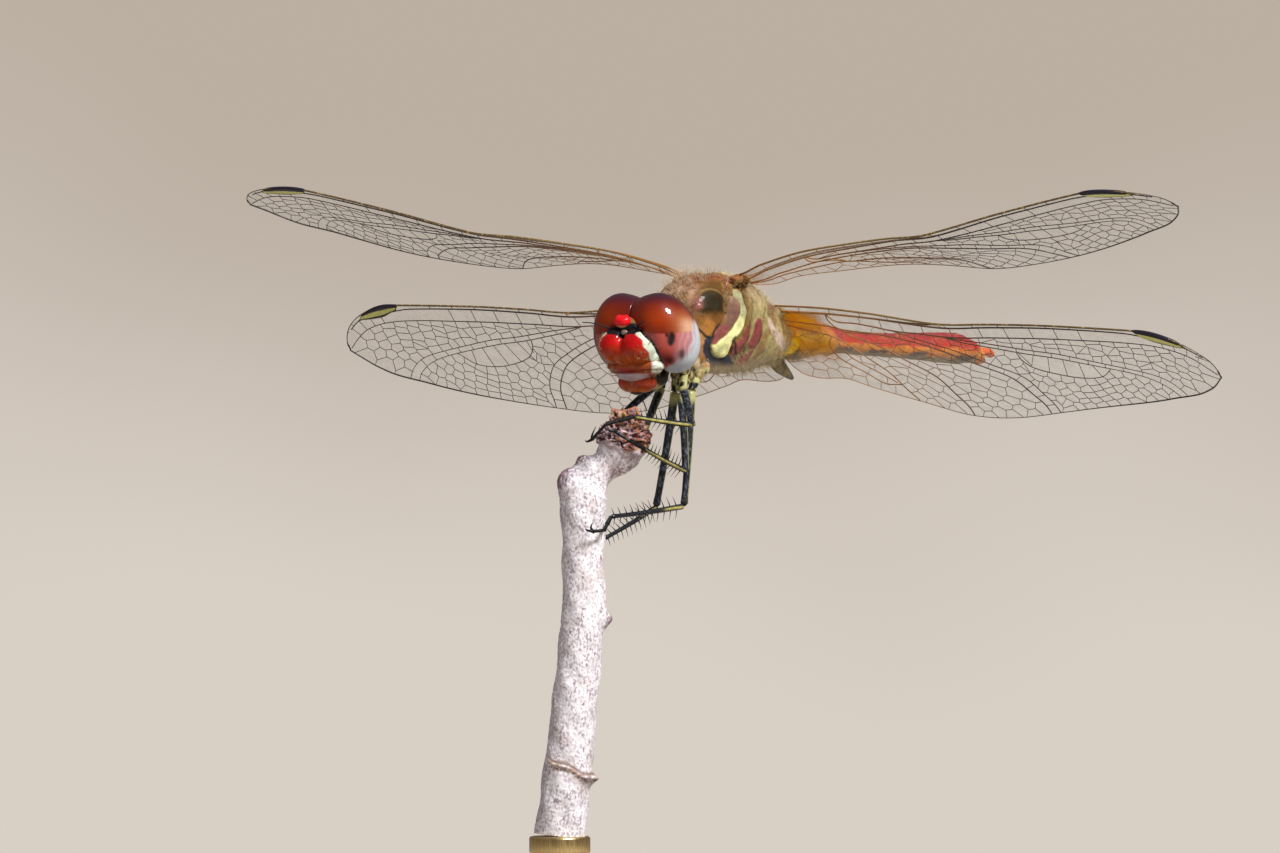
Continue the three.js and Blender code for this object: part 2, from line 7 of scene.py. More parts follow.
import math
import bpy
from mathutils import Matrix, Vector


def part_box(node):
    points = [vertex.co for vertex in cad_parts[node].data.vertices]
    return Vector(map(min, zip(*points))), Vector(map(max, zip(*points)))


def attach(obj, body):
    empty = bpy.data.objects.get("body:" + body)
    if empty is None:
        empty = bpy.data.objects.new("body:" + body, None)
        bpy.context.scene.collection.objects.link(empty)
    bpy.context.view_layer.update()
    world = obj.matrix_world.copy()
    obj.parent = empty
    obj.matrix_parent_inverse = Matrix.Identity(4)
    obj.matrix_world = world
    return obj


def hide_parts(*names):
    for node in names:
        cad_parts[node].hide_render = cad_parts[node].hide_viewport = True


bl_info = {
    "name": "Darter Dragonfly",
    "version": (1, 0, 0),
    "blender": (4, 5, 0),
    "location": "3D View > Sidebar > Dragonfly",
    "description": "Models and finishes a perched darter dragonfly on a small display stand",
    "category": "Add Mesh",
}

import bpy
import numpy as np
from bpy.props import FloatProperty, FloatVectorProperty, IntProperty, PointerProperty
from mathutils import Matrix, Vector, noise

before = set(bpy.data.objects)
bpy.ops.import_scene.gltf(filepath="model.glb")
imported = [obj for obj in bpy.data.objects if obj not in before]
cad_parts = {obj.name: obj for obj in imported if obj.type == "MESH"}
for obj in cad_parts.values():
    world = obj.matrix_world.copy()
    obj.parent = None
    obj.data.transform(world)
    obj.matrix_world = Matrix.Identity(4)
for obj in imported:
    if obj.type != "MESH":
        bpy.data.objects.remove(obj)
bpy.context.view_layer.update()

MM = 0.001
# Below this a length counts as nothing.
TINY = 1e-12
# The trunk's solid runs from this far in front of the hinges, and this far above them.
TRUNK_FRONT = 3.95
TRUNK_CREST = 0.12
# What lies to the right in the view from the animal's front left.
SIGHT_RIGHT = np.array([0.826, 0.564, 0.0])


def hinge_point():
    """Midway between the forewing hinges, in the row's frame."""
    low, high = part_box("thorax")
    return Vector(((low.x + high.x) / 2, low.y + TRUNK_FRONT * MM, high.z - TRUNK_CREST * MM))


HINGES = hinge_point()


# ------------------------------------------------------------------ sizes and colours


def length(name, default, description):
    """A size in millimetres."""
    return FloatProperty(name=name, description=description, default=default, min=0.0, precision=3)


def colour(name, default, description):
    """A colour in linear light."""
    return FloatVectorProperty(
        name=name, description=description, default=default, size=3, min=0.0, max=1.0, subtype="COLOR"
    )


class DragonflySizes(bpy.types.PropertyGroup):
    """Sizes in millimetres."""

    membrane: length("Membrane", 0.016, "Thickness of the wings' clear film")
    costa: length("Costa", 0.056, "Half thickness of the vein along a wing's leading edge")
    vein: length("Vein", 0.042, "Half thickness of a long vein")
    cross_vein: length("Cross vein", 0.019, "Half thickness of a cross vein")
    voxel: length("Voxel", 0.056, "Size of the cells in which the trunk's skin is fused")
    hair: length("Hair", 1.0, "Length of the longest hairs on the trunk")
    hair_thickness: length("Hair thickness", 0.011, "Half thickness of a hair at its root")
    spine: length("Spine", 0.78, "Length of the longest spines on the shins")
    seed: IntProperty(name="Seed", description="Start of every irregular pattern", default=7, min=0)


class DragonflyColours(bpy.types.PropertyGroup):
    """Colours, in linear light."""

    eye_rust: colour("Eye rust", (0.1, 0.006, 0.003), "Upper half of the eyes")
    eye_rose: colour("Eye rose", (0.45, 0.07, 0.05), "Lower half of the eyes")
    eye_blue: colour("Eye blue", (0.52, 0.55, 0.6), "Rear and lower rim of the eyes")
    face_red: colour("Face red", (0.42, 0.003, 0.004), "Frons")
    face_brown: colour("Face brown", (0.23, 0.042, 0.007), "Lower face")
    cream: colour("Cream", (0.55, 0.59, 0.48), "Pale bands of the face")
    trunk: colour("Trunk brown", (0.17, 0.085, 0.022), "Ground colour of the trunk")
    stripe: colour("Pale stripe", (0.7, 0.68, 0.31), "Pale green-yellow stripe of the trunk")
    mauve: colour("Mauve", (0.16, 0.08, 0.058), "Mauve side plates")
    slate: colour("Slate", (0.026, 0.03, 0.055), "Blue-grey plates above the legs")
    abdomen_red: colour("Abdomen red", (0.34, 0.018, 0.006), "Upper side of the abdomen")
    abdomen_orange: colour("Abdomen orange", (0.6, 0.2, 0.02), "Lower sides of the abdomen")
    amber: colour("Amber", (0.74, 0.32, 0.001), "Patch at the hindwings' roots")
    bark: colour("Bark", (0.78, 0.74, 0.77), "Twig's bark")
    walnut: colour("Walnut", (0.045, 0.022, 0.012), "Stand's base")


class DragonflyStage(bpy.types.PropertyGroup):
    """Where the camera stands and how strong the lights are."""

    azimuth: FloatProperty(
        name="Azimuth", description="Way the camera looks, turned from straight at the face",
        default=math.radians(34.35), subtype="ANGLE",
    )
    distance: FloatProperty(
        name="Distance", description="From the camera to the point it looks at", default=0.5316,
        unit="LENGTH",
    )
    lens: FloatProperty(name="Lens", description="Focal length in millimetres", default=265.7, min=1.0)
    key_power: FloatProperty(name="Key", description="Power of the light above", default=2.25, min=0.0)
    fill_power: FloatProperty(name="Fill", description="Power of the light in front", default=0.3, min=0.0)


def sizes():
    """The sizes now set."""
    return bpy.context.scene.dragonfly_sizes


def colours():
    """The colours now set."""
    return bpy.context.scene.dragonfly_colours


# ------------------------------------------------------------------ numbers


def between(stations, place):
    """A smooth value between stations given as (place, value), with no overshoot between them."""
    x, y = np.array(stations, float).T
    slope = np.diff(y) / np.diff(x)
    before, after = slope[:-1], slope[1:]
    total = np.where(np.abs(before + after) < TINY, 1.0, before + after)
    inner = np.where(before * after > 0, 2 * before * after / total, 0.0)
    tangent = np.concatenate([slope[:1], inner, slope[-1:]])
    place = np.clip(np.asarray(place, float), x[0], x[-1])
    i = np.clip(np.searchsorted(x, place, side="right") - 1, 0, len(x) - 2)
    span = x[i + 1] - x[i]
    t = (place - x[i]) / span
    rise = y[i + 1] - y[i]
    ease = t * t * (3 - 2 * t)
    return (
        y[i] + ease * rise
        + (t**3 - 2 * t**2 + t) * span * tangent[i]
        + (t**3 - t**2) * span * tangent[i + 1]
    )


def ramp(low, high, value):
    """0 below low, 1 above high, and smooth between."""
    t = np.clip((np.asarray(value, float) - low) / (high - low), 0, 1)
    return t * t * (3 - 2 * t)


def bell(value, middle, width):
    """1 at the middle, falling smoothly to 0 on both sides of it."""
    return np.exp(-(((value - middle) / width) ** 2))


def unit(way):
    """A direction, or each of many, with the length 1."""
    return way / np.linalg.norm(way, axis=-1, keepdims=True)


def run_along(line):
    """How far along a line each of its points is."""
    return np.concatenate([[0], np.cumsum(np.linalg.norm(np.diff(line, axis=0), axis=1))])


def at_run(line, run, places):
    """The points at the given distances along a line."""
    return np.stack([np.interp(places, run, column) for column in line.T], axis=-1)


def spline(points, count, closed=False):
    """Evenly spaced points on a smooth curve through a few points."""
    p = np.array(points, float)
    if closed:
        p = np.vstack([p[-1], p, p[0], p[1]])
    else:
        p = np.vstack([2 * p[0] - p[1], p, 2 * p[-1] - p[-2]])
    t = np.linspace(0, 1, 12, endpoint=False)[:, None]
    pieces = [
        0.5 * (2 * b + (c - a) * t + (2 * a - 5 * b + 4 * c - d) * t**2 + (3 * b - a - 3 * c + d) * t**3)
        for a, b, c, d in zip(p[:-3], p[1:-2], p[2:-1], p[3:])
    ]
    fine = np.vstack(pieces + [p[-2:-1]])
    run = run_along(fine)
    return at_run(fine, run, np.linspace(0, run[-1], count))


def distance_to(line, place):
    """How far each place in a plane is from a line of points."""
    start, step = line[:-1], np.diff(line, axis=0)
    away = place[:, None] - start[None]
    t = np.clip((away * step).sum(-1) / np.maximum((step**2).sum(-1), TINY), 0, 1)
    return np.linalg.norm(away - t[..., None] * step, axis=-1).min(1)


def inside(outline, place):
    """Whether each place in a plane is inside an outline."""
    a, b = outline, np.roll(outline, -1, axis=0)
    u, v = place[:, :1], place[:, 1:]
    straddles = (a[:, 1] > v) != (b[:, 1] > v)
    rise = np.where(np.abs(b[:, 1] - a[:, 1]) < TINY, TINY, b[:, 1] - a[:, 1])
    return (straddles & (u < (b[:, 0] - a[:, 0]) * (v - a[:, 1]) / rise + a[:, 0])).sum(1) % 2 == 1


def patch(outline, place, soft=0.06):
    """1 inside a rounded outline, 0 outside it, with an edge of the given softness."""
    line = spline(outline, 8 * len(outline), closed=True)
    away = distance_to(line, place)
    return ramp(-soft, soft, np.where(inside(line, place), away, -away))


def groove(line, place, width):
    """1 along a smooth line, falling to 0 at the given distance from it."""
    return bell(distance_to(spline(line, 8 * len(line)), place), 0, width)


def lumps(place, size, seed=0.0):
    """Smooth random values, one for each place, that change over the given size."""
    return np.array([noise.noise(Vector(p) / size + Vector((seed, 2 * seed, 0))) for p in place])


# ------------------------------------------------------------------ mesh tools


def only(piece):
    """Selects one object and nothing else."""
    bpy.ops.object.select_all(action="DESELECT")
    piece.select_set(True)
    bpy.context.view_layer.objects.active = piece


def new_piece(name, verts, faces):
    """A mesh object from points and faces."""
    mesh = bpy.data.meshes.new(name)
    mesh.from_pydata([tuple(v) for v in verts], [], faces)
    mesh.polygons.foreach_set("use_smooth", [True] * len(mesh.polygons))
    piece = bpy.data.objects.new(name, mesh)
    bpy.context.scene.collection.objects.link(piece)
    return piece


def ball(name, centre, radii, grid=(24, 18), lean=0.0, pitch=0.0):
    """An ellipsoid that leans about the body's long axis, and then pitches about its cross axis.
    The grid is how many faces it has round it and from pole to pole."""
    bpy.ops.object.select_all(action="DESELECT")
    bpy.ops.mesh.primitive_uv_sphere_add(segments=grid[0], ring_count=grid[1], radius=1.0)
    piece = bpy.context.object
    piece.name = name
    turn = Matrix.Rotation(math.radians(pitch), 4, "X") @ Matrix.Rotation(math.radians(lean), 4, "Y")
    piece.data.transform(Matrix.Translation(centre) @ turn @ Matrix.Diagonal((*radii, 1.0)))
    bpy.ops.object.shade_smooth()
    return piece


def points(piece):
    """The piece's vertices as an array."""
    co = np.empty(len(piece.data.vertices) * 3, np.float32)
    piece.data.vertices.foreach_get("co", co)
    return co.reshape(-1, 3).astype(float)


def normals(piece):
    """The directions that the piece's vertices face."""
    flat = np.empty(len(piece.data.vertices) * 3, np.float32)
    piece.data.vertex_normals.foreach_get("vector", flat)
    return flat.reshape(-1, 3).astype(float)


def set_points(piece, place):
    """Moves the piece's vertices."""
    piece.data.vertices.foreach_set("co", place.astype(np.float32).ravel())
    piece.data.update()


def swell(piece, height):
    """Pushes each vertex out by its height."""
    set_points(piece, points(piece) + normals(piece) * np.asarray(height)[:, None])


def mark(piece, name, values):
    """Keeps one value for each vertex, for a material to read."""
    layer = piece.data.attributes.new(name, "FLOAT", "POINT")
    layer.data.foreach_set("value", np.asarray(values, np.float32))


def apply_modifier(piece, kind, **settings):
    """Adds a modifier and applies it."""
    only(piece)
    modifier = piece.modifiers.new(kind.title(), kind)
    for key, value in settings.items():
        setattr(modifier, key, value)
    bpy.ops.object.modifier_apply(modifier=modifier.name)


def outward(piece):
    """Turns every face of a closed piece outwards."""
    only(piece)
    bpy.ops.object.mode_set(mode="EDIT")
    bpy.ops.mesh.select_all(action="SELECT")
    bpy.ops.mesh.normals_make_consistent(inside=False)
    bpy.ops.object.mode_set(mode="OBJECT")
    return piece


def fuse(name, pieces, voxel, smooth=4):
    """Joins overlapping closed pieces into one skin with soft joins."""
    skin = join(name, pieces)
    apply_modifier(skin, "REMESH", mode="VOXEL", voxel_size=voxel, use_smooth_shade=True)
    apply_modifier(skin, "SMOOTH", factor=0.5, iterations=smooth)
    return skin


def join(name, pieces):
    """Joins pieces into one object without fusing their surfaces."""
    only(pieces[0])
    for piece in pieces:
        piece.select_set(True)
    bpy.ops.object.join()
    pieces[0].name = name
    return pieces[0]


def ring_faces(steps, sides):
    """The faces between rings of points, from each ring to the next."""
    faces = []
    for k in range(steps - 1):
        for i in range(sides):
            a, b = k * sides + i, k * sides + (i + 1) % sides
            faces.append((a, b, b + sides, a + sides))
    return faces


def loft(name, rings):
    """A closed skin over rings of points, its two ends closed with fans."""
    rings = np.asarray(rings, float)
    steps, sides = rings.shape[:2]
    verts = np.vstack([rings.reshape(-1, 3), rings[0].mean(0), rings[-1].mean(0)])
    first, last = steps * sides, steps * sides + 1
    faces = ring_faces(steps, sides)
    end = (steps - 1) * sides
    for i in range(sides):
        j = (i + 1) % sides
        faces += [(first, j, i), (last, end + i, end + j)]
    return outward(new_piece(name, verts, faces))


def ways_round(left, over, turn):
    """The directions at the given bearings round a path, from two directions square to it."""
    return left[:, None] * np.cos(turn)[..., None] + over[:, None] * np.sin(turn)[..., None]


def tube(name, path, radius, sides):
    """A closed tube along a path. The radius is a number, one for each step, or a function of the
    share of the length and the bearing."""
    path = np.asarray(path, float)
    run = run_along(path)
    share = (run / run[-1])[:, None]
    bearing = np.linspace(0, 2 * math.pi, sides, endpoint=False)[None]
    if callable(radius):
        size = radius(share, bearing) + 0 * bearing
    else:
        size = np.broadcast_to(np.asarray(radius, float).reshape(-1, 1), (len(path), sides))
    along = unit(np.gradient(path, axis=0))
    left = unit(np.array([1.0, 0, 0]) - along[:, :1] * along)
    up = np.cross(left, along)
    return loft(name, path[:, None] + size[..., None] * ways_round(left, up, bearing))


def dress(piece, material, slot, *nodes):
    """Gives a piece its material, hangs it under the root's empty and hides the parts it replaces."""
    piece.data.materials.clear()
    piece.data.materials.append(material)
    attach(piece, "root")
    if nodes:
        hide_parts(*nodes)


def finish(piece, material, slot, *nodes):
    """Moves a finished piece to its place in the row and dresses it."""
    piece.data.transform(Matrix.Translation(HINGES) @ Matrix.Scale(MM, 4))
    dress(piece, material, slot, *nodes)
# ------------------------------------------------------------------ finishes


def shared_group(name, build, inputs, outputs):
    """A shader node group, made once. Inputs are (name, kind, value), outputs (name, kind)."""
    if name in bpy.data.node_groups:
        return bpy.data.node_groups[name]
    group = bpy.data.node_groups.new(name, "ShaderNodeTree")
    for label, kind, value in inputs:
        socket = group.interface.new_socket(name=label, in_out="INPUT", socket_type="NodeSocket" + kind)
        if value is not None:
            socket.default_value = value
    for label, kind in outputs:
        group.interface.new_socket(name=label, in_out="OUTPUT", socket_type="NodeSocket" + kind)
    sheet = Sheet(group)
    way_in = group.nodes.new("NodeGroupInput")
    way_out = group.nodes.new("NodeGroupOutput")
    for label, socket in build(sheet, way_in.outputs).items():
        group.links.new(socket, way_out.inputs[label])
    return group


class Sheet:
    """Short ways to lay out a node tree."""

    def __init__(self, tree):
        self.tree = tree

    def set(self, socket, value):
        """Links a socket to another, or sets its value."""
        if isinstance(value, bpy.types.NodeSocket):
            self.tree.links.new(value, socket)
        elif socket.type == "RGBA" and len(value) == 3:
            socket.default_value = (*value, 1.0)
        else:
            socket.default_value = value

    def node(self, kind, inputs=None, **settings):
        """Adds a shader node with its settings and inputs."""
        made = self.tree.nodes.new("ShaderNode" + kind)
        for key, value in settings.items():
            setattr(made, key, value)
        for key, value in (inputs or {}).items():
            self.set(made.inputs[key], value)
        return made

    def math(self, operation, a, b, clamp=False):
        """Two numbers put together."""
        return self.node("Math", {0: a, 1: b}, operation=operation, use_clamp=clamp).outputs[0]

    def plus(self, a, b, clamp=False):
        """The sum of two numbers."""
        return self.math("ADD", a, b, clamp)

    def times(self, a, b, clamp=False):
        """The product of two numbers."""
        return self.math("MULTIPLY", a, b, clamp)

    def mix(self, share, a, b, blend="MIX"):
        """Two colours mixed."""
        made = self.node("Mix", data_type="RGBA", blend_type=blend, clamp_factor=True)
        self.set(made.inputs[0], share)
        self.set(made.inputs[6], a)
        self.set(made.inputs[7], b)
        return made.outputs[2]

    def step(self, value, low, high, start=0.0, end=1.0):
        """A smooth change from start to end as the value goes from low to high."""
        made = self.node(
            "MapRange",
            {"Value": value, "From Min": low, "From Max": high, "To Min": start, "To Max": end},
            interpolation_type="SMOOTHSTEP",
        )
        return made.outputs[0]

    def mark(self, name):
        """A value that the piece keeps for each vertex."""
        return self.node("Attribute", attribute_name=name).outputs["Fac"]

    def noise(self, place, scale, detail=4.0, roughness=0.55, distortion=0.0):
        """Cloudy values."""
        inputs = {"Vector": place, "Scale": scale, "Detail": detail, "Roughness": roughness}
        return self.node("TexNoise", {**inputs, "Distortion": distortion}).outputs["Fac"]

    def cells(self, place, scale):
        """The distance to the nearest of many scattered points."""
        return self.node("TexVoronoi", {"Vector": place, "Scale": scale}).outputs["Distance"]

    def dimmed(self, colour, level):
        """A colour, darker or lighter by a factor."""
        grey = self.node("CombineColor", {0: level, 1: level, 2: level}).outputs[0]
        return self.mix(1.0, colour, grey, blend="MULTIPLY")


def build_mottle(sheet, given):
    """Cloudy light and dark, with a fine grain."""
    broad = sheet.noise(given["Place"], given["Scale"], detail=5.0)
    fine = sheet.noise(given["Place"], sheet.times(given["Scale"], 7.0), detail=3.0)
    both = sheet.plus(sheet.times(broad, 0.7), sheet.times(fine, 0.3))
    swing = sheet.times(sheet.math("SUBTRACT", both, 0.5), given["Depth"])
    bright = sheet.math("MAXIMUM", sheet.plus(sheet.times(swing, 4.0), 1.0), 0.05)
    return {"Colour": sheet.dimmed(given["Colour"], bright), "Height": both}


def mottle_group():
    """The mottling that every finish shares."""
    return shared_group(
        "Mottle", build_mottle,
        [("Colour", "Color", (0.5, 0.5, 0.5, 1.0)), ("Place", "Vector", None), ("Scale", "Float", 2.0),
         ("Depth", "Float", 0.5)],
        [("Colour", "Color"), ("Height", "Float")],
    )


def build_shell(sheet, given):
    """The dents and pores of an insect's shell, where light catches it."""
    pores = sheet.cells(given["Place"], given["Scale"])
    creases = sheet.noise(given["Place"], sheet.times(given["Scale"], 0.3), detail=6.0)
    height = sheet.plus(sheet.times(sheet.step(pores, 0.0, 0.55), 0.6), creases)
    rough = sheet.plus(given["Roughness"], sheet.times(creases, 0.22), clamp=True)
    return {"Height": height, "Roughness": rough}


def shell_group():
    """The surface that all shell plates share."""
    return shared_group(
        "Shell surface", build_shell,
        [("Place", "Vector", None), ("Scale", "Float", 14.0), ("Roughness", "Float", 0.3)],
        [("Height", "Float"), ("Roughness", "Float")],
    )


class Finish(Sheet):
    """A material with one Principled shader, whose places are millimetres from the hinges."""

    def __init__(self, name, **constants):
        self.material = bpy.data.materials.new(name)
        self.material.use_nodes = True
        super().__init__(self.material.node_tree)
        self.shader = self.tree.nodes["Principled BSDF"]
        for label, value in constants.items():
            self.set(self.shader.inputs[label.replace("_", " ").title().replace("Ior", "IOR")], value)
        where = self.node("TexCoord").outputs["Object"]
        mapping = self.node("Mapping", {"Vector": where})
        mapping.inputs["Location"].default_value = -HINGES / MM
        mapping.inputs["Scale"].default_value = (1 / MM, 1 / MM, 1 / MM)
        self.place = mapping.outputs[0]

    def own(self):
        """The colours painted on the piece's vertices."""
        return self.node("Attribute", attribute_name="paint").outputs["Color"]

    def stretched(self, x, y, z):
        """The place with each part scaled by its own number, for grain that runs one way."""
        mapping = self.node("Mapping", {"Vector": self.place})
        mapping.inputs["Scale"].default_value = (x, y, z)
        return mapping.outputs[0]

    def mottled(self, paint, scale, depth):
        """The colour, mottled, and the height of its grain."""
        made = self.node("Group", node_tree=mottle_group())
        for label, value in (("Colour", paint), ("Place", self.place), ("Scale", scale), ("Depth", depth)):
            self.set(made.inputs[label], value)
        return made.outputs["Colour"], made.outputs["Height"]

    def shell(self, scale, roughness, strength):
        """Gives the material the shell's dents and pores."""
        made = self.node("Group", node_tree=shell_group())
        for label, value in (("Place", self.place), ("Scale", scale), ("Roughness", roughness)):
            self.set(made.inputs[label], value)
        self.set(self.shader.inputs["Roughness"], made.outputs["Roughness"])
        self.bump(made.outputs["Height"], strength)

    def bump(self, height, strength, depth=0.00004):
        """Raises the surface by a height."""
        made = self.node("Bump", {"Height": height, "Strength": strength, "Distance": depth})
        self.set(self.shader.inputs["Normal"], made.outputs[0])

    def paint(self, value):
        """Sets the base colour and gives back the material."""
        self.set(self.shader.inputs["Base Color"], value)
        return self.material


BLACK = (0.006, 0.006, 0.008)


class Paint:
    """Colours for a piece's vertices, laid on in coats."""

    def __init__(self, piece, base):
        self.piece = piece
        self.place = points(piece)
        self.colour = np.tile(np.array(base, float), (len(self.place), 1))

    def coat(self, share, colour):
        """Lays a colour over a share of each vertex's colour."""
        share = np.clip(np.broadcast_to(share, (len(self.place),)), 0, 1)[:, None]
        self.colour += (np.array(colour, float) - self.colour) * share

    def shade(self, factor):
        """Makes each vertex's colour lighter or darker."""
        self.colour *= np.broadcast_to(factor, (len(self.place),))[:, None]

    def keep(self):
        """Stores the colours for the material to read."""
        layer = self.piece.data.attributes.new("paint", "FLOAT_COLOR", "POINT")
        clear = np.ones((len(self.colour), 1))
        full = np.hstack([np.clip(self.colour, 0.0, 1.0), clear])
        layer.data.foreach_set("color", full.astype(np.float32).ravel())


def painted(name, roughness, grain=3.0, depth=0.35, pores=12.0, strength=0.35, **constants):
    """A shell material that shows its piece's painted colours."""
    constants.setdefault("Specular_IOR_Level", 0.22)
    made = Finish(name, **constants)
    coloured, _ = made.mottled(made.own(), grain, depth)
    made.shell(pores, roughness, strength)
    return made.paint(coloured)
# ------------------------------------------------------------------ wings

# Distance of the trailing edge behind the leading edge's line, by share of the wing's length.
FOREWING_REAR = [
    (-0.03, 1.6), (0, 2.7), (0.06, 3.3), (0.15, 4.3), (0.25, 5.1), (0.38, 6.1), (0.5, 6.7), (0.6, 6.8),
    (0.72, 6.5), (0.82, 6.0), (0.9, 5.2), (0.96, 4.1), (1, 2.7),
]
HINDWING_REAR = [
    (-0.062, 3.6), (-0.056, 5.3), (-0.03, 6.35), (0.01, 6.5), (0.06, 6.4), (0.12, 6.95), (0.22, 7.85),
    (0.34, 8.4), (0.45, 8.3), (0.56, 7.8), (0.68, 7.1), (0.8, 6.3), (0.9, 5.2), (0.96, 4.1), (1, 2.7),
]
# From this share on, the leading edge curves back to this depth.
TIP_START = 0.86
TIP_DEPTH = 2.5
# The film and the margin stop at this share of the length.
TIP_END = 0.9985
# How far a wing bows up from its own straight line, by share of its length.
FOREWING_LIFT = [
    (-0.05, 0.05), (0, 0.1), (0.05, 0.36), (0.16, 0.56), (0.27, 0.42), (0.36, 0.25), (0.46, 0), (0.65, 0.2),
    (0.84, 0.3), (0.94, 0), (1, -0.2),
]
HINDWING_LIFT = [
    (0, 0.17), (0.1, 0.23), (0.2, 0.15), (0.39, -0.13), (0.5, 0.04), (0.65, 0.22), (0.84, 0.3),
    (0.94, 0.02), (1, -0.2),
]
# Shares between which the root's pitch turns into the outer pitch.
TWIST_START = 0.2
TWIST_END = 0.75
# Side, forewing or not, and the angles of sweep, rise, root pitch and outer pitch.
WINGS = {
    "wing_fore_left": (1, True, (6.94, 9.18, 13, 22)),
    "wing_fore_right": (-1, True, (7.81, 11.31, 14, 26)),
    "wing_hind_left": (1, False, (-2.05, -4.21, 39, 39)),
    "wing_hind_right": (-1, False, (-1.08, 0.19, 41, 50)),
}

# The long veins, as (share of the length, millimetres behind the leading edge).
FOREWING_VEINS = {
    "subcosta": [(-0.03, 0.5), (0.05, 0.52), (0.2, 0.45), (0.35, 0.32), (0.462, 0.06)],
    "radius": [
        (-0.035, 0.95), (0.06, 1.0), (0.2, 0.92), (0.35, 0.76), (0.467, 0.66), (0.55, 0.5), (0.64, 0.38),
        (0.75, 0.37), (0.835, 0.42), (0.885, 0.72), (0.94, 0.75), (0.975, 1.35),
    ],
    "sector": [
        (0.128, 1.0), (0.134, 1.5), (0.2, 1.52), (0.3, 1.45), (0.39, 1.22), (0.467, 1.16), (0.61, 1.22),
        (0.75, 1.16), (0.86, 1.22), (0.93, 1.42), (0.97, 2.0), (0.993, 2.55),
    ],
    "second": [
        (0.455, 1.17), (0.52, 1.5), (0.59, 2.1), (0.67, 2.42), (0.75, 2.92), (0.81, 3.3), (0.85, 3.85),
        (0.873, 4.6), (0.883, 5.35),
    ],
    "between": [
        (0.455, 1.17), (0.51, 1.75), (0.58, 2.4), (0.66, 2.76), (0.74, 3.24), (0.8, 3.65), (0.838, 4.2),
        (0.858, 4.9), (0.866, 5.55),
    ],
    "supplement": [(0.575, 2.38), (0.582, 2.95), (0.615, 3.6), (0.665, 4.0), (0.72, 4.0), (0.762, 3.42)],
    "third": [
        (0.22, 1.52), (0.3, 1.62), (0.37, 1.85), (0.44, 2.1), (0.51, 2.85), (0.567, 3.75), (0.612, 4.6),
        (0.64, 5.6), (0.65, 6.7),
    ],
    "median": [
        (0.128, 1.0), (0.138, 1.95), (0.22, 2.1), (0.32, 2.15), (0.42, 2.5), (0.49, 3.15), (0.55, 4.1),
        (0.595, 5.1), (0.62, 6.0), (0.628, 6.8),
    ],
    "cubital": [
        (-0.035, 1.5), (0.06, 1.85), (0.138, 1.95), (0.172, 2.05), (0.182, 3.15), (0.25, 3.35), (0.32, 3.75),
        (0.38, 4.45), (0.42, 5.3), (0.44, 6.35),
    ],
    "anal": [
        (-0.03, 1.62), (0.05, 2.25), (0.12, 2.85), (0.182, 3.15), (0.24, 3.95), (0.29, 4.75), (0.31, 5.45),
    ],
    "triangle": [(0.148, 1.98), (0.182, 3.15)],
}
HINDWING_VEINS = {
    "subcosta": [(-0.03, 0.32), (0.06, 0.36), (0.2, 0.32), (0.3, 0.22), (0.38, 0.05)],
    "radius": [
        (-0.04, 0.62), (0.06, 0.66), (0.14, 0.62), (0.24, 0.54), (0.386, 0.46), (0.47, 0.33), (0.6, 0.24),
        (0.75, 0.25), (0.835, 0.36), (0.88, 0.66), (0.935, 0.68), (0.975, 1.3),
    ],
    "sector": [
        (0.1, 0.68), (0.108, 1.2), (0.14, 1.12), (0.19, 1.16), (0.26, 1.34), (0.31, 1.2), (0.39, 1.2),
        (0.52, 1.18), (0.68, 1.16), (0.78, 1.14), (0.86, 1.22), (0.92, 1.36), (0.965, 1.95), (0.993, 2.55),
    ],
    "second": [
        (0.375, 1.2), (0.44, 1.52), (0.5, 1.95), (0.56, 2.3), (0.63, 2.56), (0.71, 3.02), (0.78, 3.52),
        (0.83, 4.0), (0.865, 4.62), (0.885, 5.3),
    ],
    "between": [
        (0.375, 1.2), (0.43, 1.75), (0.49, 2.24), (0.55, 2.6), (0.62, 2.88), (0.7, 3.34), (0.77, 3.86),
        (0.818, 4.4), (0.85, 5.0), (0.866, 5.55),
    ],
    "supplement": [
        (0.528, 2.48), (0.533, 3.1), (0.556, 3.84), (0.6, 4.38), (0.65, 4.62), (0.7, 4.4), (0.732, 3.58),
    ],
    "third": [
        (0.255, 1.34), (0.31, 1.78), (0.36, 2.22), (0.41, 2.8), (0.455, 3.5), (0.497, 4.3), (0.525, 5.2),
        (0.545, 6.4), (0.555, 7.8),
    ],
    "median": [
        (0.1, 0.68), (0.118, 1.72), (0.2, 1.85), (0.27, 2.0), (0.33, 2.42), (0.39, 3.05), (0.435, 3.7),
        (0.475, 4.55), (0.505, 5.6), (0.525, 6.8), (0.532, 7.9),
    ],
    "cubital": [
        (-0.04, 1.2), (0.05, 1.5), (0.118, 1.72), (0.138, 2.35), (0.19, 3.0), (0.247, 3.95), (0.285, 4.75),
        (0.315, 5.8), (0.336, 7.0), (0.345, 8.35),
    ],
    "anal": [
        (-0.045, 1.4), (0.03, 2.0), (0.09, 2.6), (0.13, 3.6), (0.16, 4.5), (0.183, 5.5), (0.205, 6.6),
        (0.222, 7.8),
    ],
    "loop": [(0.09, 2.6), (0.072, 3.4), (0.078, 4.3), (0.1, 5.2), (0.128, 5.9), (0.16, 6.5), (0.2, 6.4)],
    "midrib": [(0.095, 3.2), (0.108, 4.2), (0.132, 5.0), (0.16, 5.7), (0.192, 6.3)],
    "triangle": [(0.128, 2.05), (0.19, 1.92)],
}
